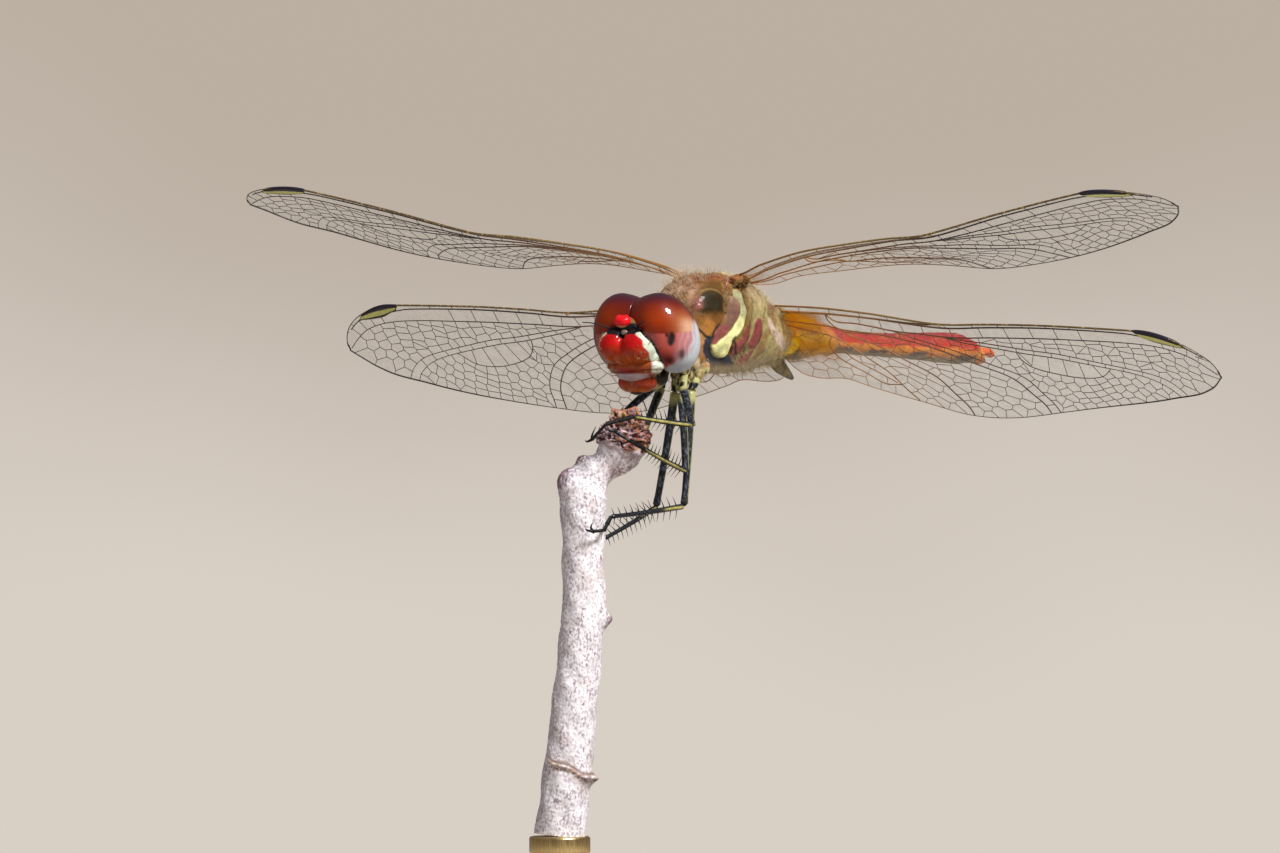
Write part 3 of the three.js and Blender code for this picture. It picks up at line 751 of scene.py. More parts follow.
# The fields of cells. Each lies between two lines: a vein, the part of one between two shares, or
# points of its own. Then come the cells' length and breadth, and the rows at most.
FOREWING_FIELDS = [
    ([(0.0, 0), (0.46, 0)], "subcosta", 2.0, 0.9, 1),
    ("subcosta", ("radius", 0.0, 0.46), 2.0, 0.9, 1),
    ([(0.48, 0), (0.83, 0)], ("radius", 0.48, 0.83), 1.6, 0.9, 1),
    ([(0.945, 0.4), (0.985, 1.2)], ("radius", 0.945, 0.975), 0.7, 0.9, 1),
    (("radius", 0.15, 0.46), ("sector", 0.15, 0.46), 1.5, 0.9, 1),
    (("radius", 0.48, 0.78), ("sector", 0.48, 0.78), 1.6, 0.9, 1),
    (
        [(0.86, 0.6), (0.885, 0.72), (0.94, 0.78), (0.975, 1.35), (0.992, 1.95)],
        [(0.86, 1.22), (0.93, 1.42), (0.97, 2.0), (0.993, 2.5)],
        0.75, 0.6, 1,
    ),
    (("sector", 0.47, 1.0), "second", 0.95, 0.62, 7),
    ("second", "between", 1.1, 0.5, 1),
    (("between", 0.575, 0.765), "supplement", 1.0, 2.0, 1),
    (("sector", 0.2, 0.46), ("third", 0.2, 0.46), 1.3, 0.8, 1),
    (
        [
            (0.47, 1.35), (0.575, 2.4), (0.582, 2.95), (0.615, 3.6), (0.665, 4.0), (0.72, 4.05),
            (0.765, 3.5), (0.8, 3.7), (0.84, 4.3), (0.862, 5.4),
        ],
        [
            (0.44, 2.1), (0.51, 2.85), (0.567, 3.75), (0.612, 4.6), (0.64, 5.6), (0.655, 6.5), (0.72, 6.5),
            (0.8, 6.15), (0.862, 5.6),
        ],
        0.85, 0.6, 9,
    ),
    ("third", "median", 0.9, 0.6, 1),
    (("median", 0.17, 1.0), ("cubital", 0.18, 1.0), 0.95, 0.72, 6),
    (("cubital", 0.185, 1.0), ("anal", 0.182, 1.0), 0.95, 0.7, 4),
    (
        ("anal", 0.0, 1.0),
        [(0.0, 2.9), (0.06, 3.3), (0.15, 4.3), (0.25, 5.1), (0.31, 5.5)],
        0.95, 0.75, 3,
    ),
]
HINDWING_FIELDS = [
    ([(0.0, 0), (0.375, 0)], "subcosta", 1.9, 0.9, 1),
    ("subcosta", ("radius", 0.0, 0.38), 1.9, 0.9, 1),
    ([(0.4, 0), (0.825, 0)], ("radius", 0.4, 0.825), 1.6, 0.9, 1),
    ([(0.945, 0.4), (0.985, 1.2)], ("radius", 0.945, 0.975), 0.7, 0.9, 1),
    (("radius", 0.13, 0.38), ("sector", 0.13, 0.38), 1.4, 0.9, 1),
    (("radius", 0.41, 0.77), ("sector", 0.41, 0.77), 1.6, 0.9, 1),
    (
        [(0.86, 0.6), (0.88, 0.66), (0.935, 0.7), (0.975, 1.3), (0.992, 1.95)],
        [(0.86, 1.22), (0.92, 1.36), (0.965, 1.95), (0.993, 2.5)],
        0.75, 0.6, 1,
    ),
    (("sector", 0.39, 1.0), "second", 0.95, 0.62, 7),
    ("second", "between", 1.1, 0.5, 1),
    (("between", 0.528, 0.735), "supplement", 1.0, 2.0, 1),
    (("sector", 0.26, 0.38), ("third", 0.26, 0.38), 1.2, 0.8, 1),
    (
        [
            (0.39, 1.4), (0.53, 2.5), (0.533, 3.1), (0.556, 3.84), (0.6, 4.4), (0.65, 4.65), (0.7, 4.45),
            (0.735, 3.7), (0.78, 4.0), (0.82, 4.5), (0.862, 5.4),
        ],
        [
            (0.36, 2.22), (0.41, 2.8), (0.455, 3.5), (0.497, 4.3), (0.525, 5.2), (0.545, 6.4), (0.56, 7.7),
            (0.65, 7.3), (0.75, 6.6), (0.862, 5.6),
        ],
        0.85, 0.6, 9,
    ),
    ("third", "median", 0.9, 0.6, 1),
    (("median", 0.2, 1.0), ("cubital", 0.19, 1.0), 0.95, 0.72, 8),
    (("cubital", 0.19, 1.0), ("anal", 0.13, 1.0), 0.95, 0.7, 5),
    (("anal", 0.09, 0.205), "loop", 0.95, 0.62, 3),
    (
        [
            (0.0, 1.8), (0.05, 2.3), (0.085, 2.7), (0.072, 3.4), (0.078, 4.3), (0.1, 5.2), (0.128, 5.9),
            (0.16, 6.5), (0.21, 7.0),
        ],
        [(-0.045, 2.0), (-0.05, 4.0), (-0.035, 5.9), (0.0, 6.4), (0.06, 6.3), (0.12, 6.85), (0.2, 7.6)],
        0.95, 0.8, 4,
    ),
]
# Length, hinge, share of the length at the nodus (the joint in the leading edge) and at the ends of
# the pterostigma (the dark pad near the tip), and the tables above, of a forewing and a hindwing.
FOREWING = (
    29.26, (2.14, 0.0, 0.0), 0.467, (0.842, 0.942), FOREWING_REAR, FOREWING_LIFT, FOREWING_VEINS,
    FOREWING_FIELDS,
)
HINDWING = (
    27.66, (1.91, 3.93, -1.81), 0.386, (0.835, 0.937), HINDWING_REAR, HINDWING_LIFT, HINDWING_VEINS,
    HINDWING_FIELDS,
)


class Wing:
    """One wing: where a point is that lies so far out along it and so far behind its leading edge."""

    def __init__(self, side, fore, angles):
        sweep, rise, self.root_pitch, self.outer_pitch = angles
        sweep, rise = math.radians(sweep), math.radians(rise)
        self.side, self.fore = side, fore
        kind = FOREWING if fore else HINDWING
        self.length, hinge, self.nodus, self.pad = kind[:4]
        self.rear_line, self.lift_line, self.veins, self.fields = kind[4:]
        self.hinge = np.array([side * hinge[0], hinge[1], hinge[2]])
        self.out = np.array([
            side * math.cos(sweep) * math.cos(rise), -math.sin(sweep) * math.cos(rise), math.sin(rise),
        ])
        self.back = unit(np.array([0.0, 1.0, 0.0]) - self.out * self.out[1])
        self.up = np.cross(self.out, self.back) * side

    def front(self, share):
        """The leading edge, behind its own straight line."""
        round_ = np.clip((np.asarray(share) - TIP_START) / (1 - TIP_START), 0, 1)
        return TIP_DEPTH * (1 - np.sqrt(1 - round_**2))

    def rear(self, share):
        """The trailing edge."""
        return between(self.rear_line, share)

    def fold(self, share, behind):
        """The pleats between the front veins, deepest at the root."""
        share = np.asarray(share, float)
        fade = 1 - ramp(0.0, self.nodus * 1.6, share)
        valley = bell(behind, between(self.veins["subcosta"], share), 0.22)
        crest = bell(behind, between(self.veins["radius"], share), 0.25)
        wave = np.sin(2.4 * behind + 5.0 * share) * 0.045
        return (crest * 0.16 - valley * 0.2) * fade + wave * ramp(0.8, 2.0, behind)

    def pitch(self, share):
        """The chord's pitch, nose up."""
        turn = ramp(TWIST_START, TWIST_END, share)
        return np.radians(self.root_pitch + (self.outer_pitch - self.root_pitch) * turn)

    def normal(self, share):
        """The way the upper side faces."""
        pitch = self.pitch(share)[..., None]
        return self.up * np.cos(pitch) + self.back * np.sin(pitch)

    def point(self, share, behind, high=0.0):
        """A place on the wing, or so high above it."""
        share, behind = np.broadcast_arrays(np.asarray(share, float), np.asarray(behind, float))
        pitch = self.pitch(share)[..., None]
        chord = self.back * np.cos(pitch) - self.up * np.sin(pitch)
        lift = between(self.lift_line, share)[..., None]
        above = (self.fold(share, behind) + high)[..., None]
        start = self.hinge + self.out * (share[..., None] * self.length) + self.up * lift
        return start + chord * behind[..., None] + self.normal(share) * above

    def flat(self, line):
        """A line of (share, behind) as millimetres in the flattened wing."""
        return np.array(line, float) * (self.length, 1.0)

    def line(self, entry, count=60):
        """A field's edge, in the flattened wing."""
        if isinstance(entry, list):
            return spline(self.flat(entry), count)
        name, low, high = (entry, -1.0, 2.0) if isinstance(entry, str) else entry
        fine = spline(self.flat(self.veins[name]), 240)
        share = fine[:, 0] / self.length
        kept = fine[(share >= low) & (share <= high)]
        step = max(1, len(kept) // 24)
        return spline(np.vstack([kept[:-1:step], kept[-1:]]), count)

    def margin(self):
        """The wing's whole outline from its root round the tip, in the flattened wing."""
        low = self.rear_line[0][0]
        out = low + (1 - low) * np.sin(np.linspace(0, math.pi / 2, 130))
        out[-1] = TIP_END
        edge = np.stack([out * self.length, self.front(out)], axis=1)
        rear = np.stack([out * self.length, self.rear(out)], axis=1)[::-1]
        return np.vstack([edge, rear])


def clipped(cell, spot, way, tag):
    """The part of a convex cell behind a line through spot, square to way. A corner is kept with
    the tag of the side that follows it."""
    kept = []
    for k, (corner, side_tag) in enumerate(cell):
        follower = cell[(k + 1) % len(cell)][0]
        here = (corner[0] - spot[0]) * way[0] + (corner[1] - spot[1]) * way[1]
        there = (follower[0] - spot[0]) * way[0] + (follower[1] - spot[1]) * way[1]
        share = here / (here - there) if here != there else 0.0
        meeting = (
            corner[0] + (follower[0] - corner[0]) * share,
            corner[1] + (follower[1] - corner[1]) * share,
        )
        if here <= 0:
            kept.append((corner, side_tag))
            if there > 0:
                kept.append((meeting, tag))
        elif there <= 0:
            kept.append((meeting, side_tag))
    return kept


def crosses(start, ends, lines_start, lines_end):
    """Whether the way from start to each end crosses any of many short lines."""
    way = (ends - start)[:, None]
    step = (lines_end - lines_start)[None]
    gap = (lines_start - start)[None]
    turn = way[..., 0] * step[..., 1] - way[..., 1] * step[..., 0]
    turn = np.where(np.abs(turn) < TINY, TINY, turn)
    t = (gap[..., 0] * step[..., 1] - gap[..., 1] * step[..., 0]) / turn
    u = (gap[..., 0] * way[..., 1] - gap[..., 1] * way[..., 0]) / turn
    return ((t > 0.001) & (t < 0.985) & (u >= 0) & (u <= 1)).any(1)


# No cell starts where its field is narrower than this.
NARROWEST = 0.12
# No wall of a cell is shorter than this.
SHORTEST_SIDE = 0.07


def field_seeds(wing, field, rng):
    """The middles of a field's cells, in staggered rows that multiply where the field widens."""
    front, rear, long, broad, most = field
    a, b = wing.line(front), wing.line(rear)
    middle = (a + b) / 2
    run = run_along(middle)
    seeds, at = [], long * 0.5
    while at < run[-1]:
        here = [at_run(side, run, at) for side in (a, b)]
        width = np.linalg.norm(here[1] - here[0])
        rows = int(np.clip(round(width / broad), 1, most))
        for row in range(rows):
            across = (row + 0.5) / rows
            shift = (0.5 * long * (row % 2) if rows > 1 else 0.0) + rng.normal(0, 0.05 * long)
            spot = at_run(a * (1 - across) + b * across, run, at + shift)
            if width > NARROWEST:
                seeds.append((spot[0], spot[1] + rng.normal(0, 0.04)))
        # Cells get smaller towards the margin and the tip.
        at += long * (1.12 - 0.3 * here[0][0] / wing.length if rows > 1 else 1.0)
    return seeds


def cell_sides(wing, seed):
    """The cross veins of a wing, as pairs of ends in the flattened wing."""
    rng = np.random.default_rng(seed)
    walls = [wing.line(name, 50) for name in wing.veins] + [wing.margin()]
    starts = np.vstack([w[:-1] for w in walls])
    ends = np.vstack([w[1:] for w in walls])
    seeds = np.array([s for field in wing.fields for s in field_seeds(wing, field, rng)])
    outline = wing.margin()
    seeds = seeds[inside(outline, seeds)]
    sides = []
    for i, spot in enumerate(seeds):
        away = np.linalg.norm(seeds - spot, axis=1)
        near = np.argsort(away)[1:22]
        near = near[(away[near] < 3.6) & (away[near] > 0.16)]
        seen = near[~crosses(spot, seeds[near], starts, ends)] if len(near) else near
        cell = [((spot[0] + dx, spot[1] + dy), -1) for dx, dy in ((-2, -2), (2, -2), (2, 2), (-2, 2))]
        for wall in walls:
            start, step = wall[:-1], np.diff(wall, axis=0)
            t = np.clip(((spot - start) * step).sum(1) / np.maximum((step**2).sum(1), TINY), 0, 1)
            feet = start + step * t[:, None]
            gaps = np.linalg.norm(feet - spot, axis=1)
            k = int(gaps.argmin())
            at_end = (k == 0 and t[k] <= 0) or (k == len(t) - 1 and t[k] >= 1)
            if 1e-6 < gaps[k] < 2.6 and not at_end:
                cell = clipped(cell, feet[k], (feet[k] - spot) / gaps[k], -2)
        for j in seen:
            cell = clipped(cell, (spot + seeds[j]) / 2, seeds[j] - spot, int(j))
        for k, (corner, tag) in enumerate(cell):
            follower = cell[(k + 1) % len(cell)][0]
            if tag > i and math.dist(corner, follower) > SHORTEST_SIDE:
                sides.append((corner, follower))
    # What runs out past the margin is cut off.
    steps = np.linspace(0, 1, 13)[:, None]
    kept = []
    for start, end in np.array(sides):
        line = start + (end - start) * steps
        line = line[inside(outline, line)]
        if len(line) > 2:
            kept.append((line[0], line[-1]))
    return kept


class Bundle:
    """Gathers many small closed shapes, with values for their vertices, into one object."""

    def __init__(self):
        self.verts, self.faces, self.values, self.count = [], [], {}, 0

    def add(self, verts, faces, **values):
        """Adds one shape."""
        verts = np.asarray(verts, float)
        self.verts.append(verts)
        self.faces += [tuple(int(v) + self.count for v in face) for face in faces]
        for name, value in values.items():
            self.values.setdefault(name, []).append(np.broadcast_to(value, (len(verts),)))
        self.count += len(verts)

    def tube(self, path, radius, up, sides, **values):
        """Adds a closed tube whose rings stand square to its path. Values go with the path's steps."""
        along = np.gradient(path, axis=0)
        left = unit(np.cross(along, up))
        over = unit(np.cross(left, along))
        turn = np.arange(sides) * 2 * math.pi / sides + math.pi / sides
        size = np.broadcast_to(radius, (len(path),))[:, None, None]
        verts = (path[:, None] + ways_round(left, over, turn) * size).reshape(-1, 3)
        faces = ring_faces(len(path), sides)
        faces.append(tuple(range(sides))[::-1])
        faces.append(tuple(range((len(path) - 1) * sides, len(path) * sides)))
        spread = {k: np.repeat(np.broadcast_to(v, (len(path),)), sides) for k, v in values.items()}
        self.add(verts, faces, **spread)

    def piece(self, name):
        """The object."""
        made = new_piece(name, np.vstack(self.verts), self.faces)
        for label, value in self.values.items():
            mark(made, label, np.concatenate(value))
        return made


def sheet_shape(upper, lower):
    """Points and faces of a closed thin sheet between two grids of points."""
    rows, columns = upper.shape[:2]
    size = rows * columns
    faces = []
    for r in range(rows - 1):
        for c in range(columns - 1):
            a = r * columns + c
            quad = (a, a + 1, a + columns + 1, a + columns)
            faces.append(quad)
            faces.append(tuple(v + size for v in quad[::-1]))
    rim = list(range(columns))
    rim += [r * columns + columns - 1 for r in range(1, rows)]
    rim += [(rows - 1) * columns + c for c in range(columns - 2, -1, -1)]
    rim += [r * columns for r in range(rows - 2, 0, -1)]
    for a, b in zip(rim, rim[1:] + rim[:1]):
        faces.append((b, a, a + size, b + size))
    return np.vstack([upper.reshape(-1, 3), lower.reshape(-1, 3)]), faces


def amber_share(wing, share, behind):
    """How amber the membrane is: the red-veined darter's patch at the hindwing's root."""
    place = np.stack([share * wing.length, behind], axis=-1).reshape(-1, 2)
    if wing.fore:
        amber = 0.45 * (1 - ramp(0.0, 0.05, share)) * (1 - ramp(1.0, 2.6, behind))
        return amber, amber * 0
    ragged = 0.35 * lumps(np.column_stack([place, place[:, :1] * 0]), 0.6, 4.0).reshape(share.shape)
    reach = 0.085 + 0.02 * ragged - 0.0035 * np.abs(behind - 2.4)
    amber = (1 - ramp(-0.018, 0.03, share - reach)) * (1 - 0.85 * ramp(3.4, 5.4, behind))
    amber = amber * ramp(0.3, 0.7, behind + 12 * np.maximum(0.035 - share, 0))
    blotch = bell(share, 0.045, 0.75 / wing.length) * bell(behind, 2.5, 0.85)
    return amber, blotch


def wing_membrane(name, wing):
    """The clear film, crumpled a little between the veins."""
    steps, across = 100, 34
    low = wing.rear_line[0][0]
    share = low + (TIP_END - low) * np.sin(np.linspace(0, math.pi / 2, steps))[:, None]
    front = wing.front(share) + 0.01
    behind = front + (wing.rear(share) - front - 0.01) * np.linspace(0, 1, across)[None]
    share = share + 0 * behind
    flat = np.column_stack([(share * wing.length).ravel(), behind.ravel(), 0 * behind.ravel()])
    crumple = 0.03 * lumps(flat, 0.55, 2.0).reshape(share.shape)
    half = sizes().membrane / 2
    verts, faces = sheet_shape(
        wing.point(share, behind, crumple + half), wing.point(share, behind, crumple - half)
    )
    amber, blotch = (np.tile(value.ravel(), 2) for value in amber_share(wing, share, behind))
    bundle = Bundle()
    bundle.add(verts, faces, amber=amber, blotch=blotch)
    return outward(bundle.piece(name))


# How thick the strongest veins are, as a share of the usual thickness, and the other ones.
VEIN_SHARE = {"subcosta": 1.05, "radius": 1.35, "sector": 1.0, "median": 0.95, "cubital": 0.95}
OTHER_VEIN = 0.8
# How far apart the costa's fine teeth are.
COSTA_STEP = 0.052
PAD_STEPS = 26


def wing_veins(name, wing, seed):
    """The net of veins: the long ones, the two margins, the cells' sides and the hinge's line."""
    bundle = Bundle()

    def add(line, radius, sides, edge=0.0):
        """Adds a vein along a line of the flattened wing, as thick as a function of the share says."""
        share = line[:, 0] / wing.length
        bundle.tube(
            wing.point(share, line[:, 1]), radius(share), wing.normal(share), sides, share=share, edge=edge,
        )

    for vein in wing.veins:
        line = wing.line(vein, 90)
        line = line[(line[:, 0] < 0.5 * wing.length) | inside(wing.margin() * (1.002, 1.01), line)]
        thick = sizes().vein * VEIN_SHARE.get(vein, OTHER_VEIN)
        add(line, lambda share: thick * (1.0 - 0.4 * ramp(0.2, 1.0, share)), 8)
    margin = wing.margin()
    run = run_along(margin)
    turn = int(margin[:, 0].argmax())
    line = at_run(margin, run, np.arange(0, run[turn], COSTA_STEP))
    teeth = 0.1 * (np.arange(len(line)) % 2)
    add(
        line,
        lambda share: (
            sizes().costa * (1.0 + teeth * ramp(0.05, 0.2, share)) * (1 - 0.55 * ramp(0.8, 1.0, share))
        ),
        8, edge=1.0,
    )
    line = at_run(margin, run, np.linspace(run[turn] + 0.05, run[-1], 150))
    add(line, lambda share: sizes().vein * (0.5 + 0.5 * ramp(0.5, 0.9, share)) * 1.1, 6)
    for ends in cell_sides(wing, seed):
        add(np.array(ends), lambda share: sizes().cross_vein, 4)
    low = wing.rear_line[0][0]
    hinge_line = np.array([(low * wing.length, 0.1), (low * wing.length, wing.rear(low) * 0.9)])
    add(hinge_line, lambda share: sizes().vein, 8)
    return bundle.piece(name)


def wing_pads(name, wing):
    """The pterostigma, the dark pad near the tip, and the small knob of the nodus."""
    share = np.linspace(*wing.pad, PAD_STEPS)[:, None]
    across = np.linspace(0, 1, 9)[None]
    lengthwise = np.linspace(-1, 1, PAD_STEPS)[:, None]
    bulge = 1 - lengthwise**2
    front = wing.front(share) - 0.05 - 0.06 * bulge
    rear = between(wing.veins["radius"], share) + 0.03 + 0.1 * bulge
    slant = (across - 0.5) * 0.012
    behind = front + (rear - front) * across
    round_ = np.sqrt(np.clip(1 - (2 * across - 1) ** 6, 0, 1)) * np.sqrt(np.clip(1 - lengthwise**10, 0, 1))
    half = 0.02 + 0.1 * round_
    verts, faces = sheet_shape(
        wing.point(share + slant, behind, half), wing.point(share + slant, behind, -half)
    )
    bundle = Bundle()
    spread = np.tile((across + 0 * share).ravel(), 2)
    ends = np.tile((np.abs(lengthwise) + 0 * across).ravel(), 2)
    bundle.add(verts, faces, across=spread, ends=ends, knob=0.0)
    made = outward(bundle.piece(name))
    knob = ball("knob", wing.point(wing.nodus, 0.05), (0.16, 0.1, 0.09), (16, 10))
    for label, value in (("across", 0.5), ("ends", 0.0), ("knob", 1.0)):
        mark(knob, label, np.full(len(knob.data.vertices), value))
    return join(name, [made, knob])


def film_material():
    """Clear film: a little milky, with amber at the hindwing's root."""
    made = Finish("Wing film", Roughness=0.16, IOR=1.5, Specular_IOR_Level=0.28)
    amber, blotch = made.mark("amber"), made.mark("blotch")
    tint = made.mix(amber, (0.42, 0.42, 0.4), tuple(colours().amber))
    tint = made.mix(made.times(blotch, 0.9, clamp=True), tint, (0.3, 0.04, 0.002))
    cloud = made.noise(made.place, 1.6, detail=3.0)
    thin = made.step(cloud, 0.3, 0.7, 0.06, 0.13)
    alpha = made.plus(thin, made.times(amber, 0.55), clamp=True)
    made.set(made.shader.inputs["Alpha"], alpha)
    made.bump(made.noise(made.place, 5.0, detail=2.0), 0.35)
    return made.paint(tint)


def vein_material():
    """Veins: orange-red at the root, then brown, then black."""
    made = Finish("Wing veins", Roughness=0.42)
    share, edge = made.mark("share"), made.mark("edge")
    tint = made.mix(made.step(share, 0.0, 0.1), (0.34, 0.12, 0.018), (0.26, 0.12, 0.028))
    tint = made.mix(made.step(share, 0.1, 0.34), tint, (0.12, 0.05, 0.02))
    tint = made.mix(made.step(share, 0.28, 0.52), tint, (0.018, 0.011, 0.009))
    costa = made.mix(made.step(share, 0.05, 0.3), (0.28, 0.13, 0.03), (0.32, 0.21, 0.07))
    dots = made.step(made.cells(made.place, 5.2), 0.28, 0.42)
    dark = made.times(dots, made.step(share, 0.2, 0.5, 0.3, 0.75))
    costa = made.mix(dark, costa, (0.03, 0.014, 0.006))
    costa = made.mix(made.step(share, 0.955, 0.985), costa, (0.03, 0.014, 0.01))
    return made.paint(made.mix(edge, tint, costa))


def pad_material():
    """Pterostigmas: blue-black in front, olive-yellow behind, with a black border."""
    made = Finish("Wing pads", Roughness=0.4, Specular_IOR_Level=0.25)
    across, ends = made.mark("across"), made.mark("ends")
    tint = made.mix(made.step(across, 0.3, 0.38), (0.018, 0.014, 0.026), (0.5, 0.48, 0.14))
    tint = made.mix(made.step(across, 0.72, 0.77), tint, (0.008, 0.006, 0.006))
    tint = made.mix(made.step(ends, 0.93, 0.99), tint, (0.012, 0.008, 0.006))
    tint = made.mix(made.mark("knob"), tint, (0.45, 0.3, 0.08))
    coloured, grain = made.mottled(tint, 6.0, 0.25)
    made.bump(grain, 0.4)
    return made.paint(coloured)


class DRAGONFLY_OT_wings(bpy.types.Operator):
    """Makes the four wings with their veins, cells and dark pads"""

    bl_idname = "dragonfly.wings"
    bl_label = "Wings"

    def execute(self, context):
        film, net, pad = film_material(), vein_material(), pad_material()
        for number, (node, (side, fore, angles)) in enumerate(WINGS.items()):
            wing = Wing(side, fore, angles)
            finish(wing_membrane(node + "_film", wing), film, "wing_membrane", node)
            finish(wing_veins(node + "_veins", wing, sizes().seed + number), net, "wing_membrane", node)
            finish(wing_pads(node + "_pad", wing), pad, "wing_membrane", node)
        return {"FINISHED"}


# ------------------------------------------------------------------ eyes and head

EYE_CENTRE = (1.45, -6.48, -3.27)
EYE_RADII = (1.68, 1.75, 2.4)
EYE_LEAN = 12
HEAD_PITCH = 30
FACE_CENTRE = (0, -6.4)
# How far out the face reaches, seen from its front left, at each height.
FACE_REACH = [
    (-6.0, -3.1), (-5.45, -2.68), (-5.19, -2.56), (-4.69, -2.84), (-3.91, -3.3), (-3.4, -3.8), (-3.0, -4.1),
]
# Where an eye's pale rim starts, as (height, bearing), and how wide the black line beside the face is.
RIM = [(-5.6, -50), (-5.35, 16), (-5.05, 56), (-4.7, 77), (-4.2, 90), (-3.3, 97), (-2.8, 104), (-2.4, 124)]
EYE_LINE = [(-5.05, 0), (-4.77, 0.07), (-4.2, 0.17), (-3.63, 0.26), (-3.2, 0.2), (-2.8, 0)]
# The dark spots that seem to lie in an eye: their places and sizes.
SPOTS = [
    (2.6, -7.7, -3.46, 0.2), (2.58, -7.72, -3.64, 0.24), (2.54, -7.72, -3.84, 0.16), (2.4, -7.91, -3.4, 0.1),
    (2.17, -7.3, -4.8, 0.3), (2.73, -6.94, -4.5, 0.24), (2.76, -7.02, -4.3, 0.16),
]
# The small black beads beside the middle ocellus: their places and sizes.
BEADS = [(0.6, -8.4, -2.96, 0.13), (0.86, -8.34, -3.08, 0.1), (0.74, -8.46, -3.16, 0.09)]


def bearing(place, centre):
    """Degrees that each place is turned round an upright line, from the face outwards."""
    return np.degrees(np.arctan2(np.abs(place[:, 0]) - centre[0], centre[1] - place[:, 1]))


def face_edge(place):
    """How far out the face reaches, at each place, before it meets the eye."""
    reach = between(FACE_REACH, place[:, 2]) - SIGHT_RIGHT[1] * place[:, 1]
    return np.maximum(reach / SIGHT_RIGHT[0], 0.3)


def eye(side):
    """One compound eye, flattened where it meets the other, with painted shade on the outer side of the
    right one.
    """
    name = "eye_left" if side > 0 else "eye_right"
    centre = (side * EYE_CENTRE[0], EYE_CENTRE[1], EYE_CENTRE[2])
    piece = ball(name + "_dome", centre, EYE_RADII, (176, 120), -side * EYE_LEAN, HEAD_PITCH)
    place = points(piece)
    x, y, z = place.T
    # The eyes flatten where they meet above the face.
    meet = ramp(1.0, 0.1, side * x) * ramp(-3.2, -2.7, z) * ramp(-6.2, -6.8, y)
    place[:, 0] = side * np.maximum(side * x - 0.5 * meet, 0.02)
    set_points(piece, place)
    paint = Paint(piece, colours().eye_rust)
    turn = bearing(place, EYE_CENTRE)
    paint.coat(bell(turn, 20, 48) * bell(z, -2.5, 0.8) * 0.85, (0.32, 0.034, 0.002))
    paint.coat(ramp(-1.85, -1.05, z), (0.035, 0.008, 0.02))
    paint.coat(ramp(75, 125, turn) * ramp(-2.9, -1.8, z), (0.05, 0.012, 0.035))
    paint.coat(ramp(-30, -70, turn) * 0.7, (0.05, 0.01, 0.02))
    tan = ramp(25, 75, turn) * ramp(-1.6, -2.7, z) * ramp(125, 85, turn)
    paint.coat(tan * 0.6, (0.5, 0.17, 0.06))
    paint.coat(tan * ramp(45, 80, turn) * ramp(-2.2, -2.9, z) * 0.85, (0.6, 0.36, 0.23))
    low = ramp(0.035, -0.035, z + 3.33 - 0.16 * ramp(30, 100, turn))
    stripes = 0.5 + 0.5 * np.sin(np.radians(turn * 23) + 1.3 * np.sin(z * 4) + 6 * lumps(place, 0.8, 31.0))
    paint.coat(low, colours().eye_rose)
    paint.coat(low * ramp(28, -5, turn) * 0.85, (0.1, 0.01, 0.022))
    paint.coat(low * ramp(46, 66, turn) * 0.6, (0.62, 0.32, 0.3))
    paint.coat(low * stripes * ramp(40, 60, turn) * 0.55, (0.27, 0.12, 0.17))
    paint.coat(low * bell(turn, 18, 22) * bell(z, -4.75, 0.35) * 0.85, (0.06, 0.008, 0.02))
    pale = ramp(-20, 13, turn - between(RIM, z) - 9 * (stripes - 0.5)) * ramp(-2.3, -2.9, z)
    paint.coat(pale, colours().eye_blue)
    paint.coat(pale * ramp(-4.6, -5.3, z) * 0.6, (0.26, 0.28, 0.36))
    line = ramp(0.03, -0.03, np.abs(place[:, 0]) - face_edge(place) - between(EYE_LINE, z))
    paint.coat(line * ramp(-5.05, -4.95, z) * ramp(-2.8, -2.95, z), BLACK)
    # Painted shade: the right eye's outer side is darkened to dark purple, as on the side of the head turned
    # from the light.
    if side < 0:
        paint.coat(ramp(5, 55, turn) * 0.7, (0.07, 0.012, 0.028))
    for *spot, size in SPOTS:
        away = np.linalg.norm((place - np.array(spot) * (side, 1, 1)) * (1, 1, 0.8), axis=1)
        # The upper ones have sharp edges, and the lower ones are faint and soft.
        sharp, strong = (4, 1.0) if spot[2] > -4 else (2, 0.85)
        paint.coat(np.exp(-((away / size) ** sharp)) * strong, (0.004, 0.001, 0.003))
    paint.keep()
    return piece


def eye_material():
    """Glossy lenses over the painted colours."""
    made = Finish("Eye", Roughness=0.4, Specular_IOR_Level=0.08, Coat_Weight=0.4, Coat_Roughness=0.07)
    facets = made.cells(made.place, 20.0)
    made.bump(made.step(facets, 0.0, 0.6, 1.0, 0.0), 0.18, 0.00002)
    return made.paint(made.dimmed(made.own(), made.step(facets, 0.25, 0.6, 1.0, 0.82)))


class DRAGONFLY_OT_eyes(bpy.types.Operator):
    """Makes the two compound eyes"""

    bl_idname = "dragonfly.eyes"
    bl_label = "Eyes"

    def execute(self, context):
        lens = eye_material()
        for side, node in ((1, "eye_left"), (-1, "eye_right")):
            finish(eye(side), lens, "eye", node)
        return {"FINISHED"}


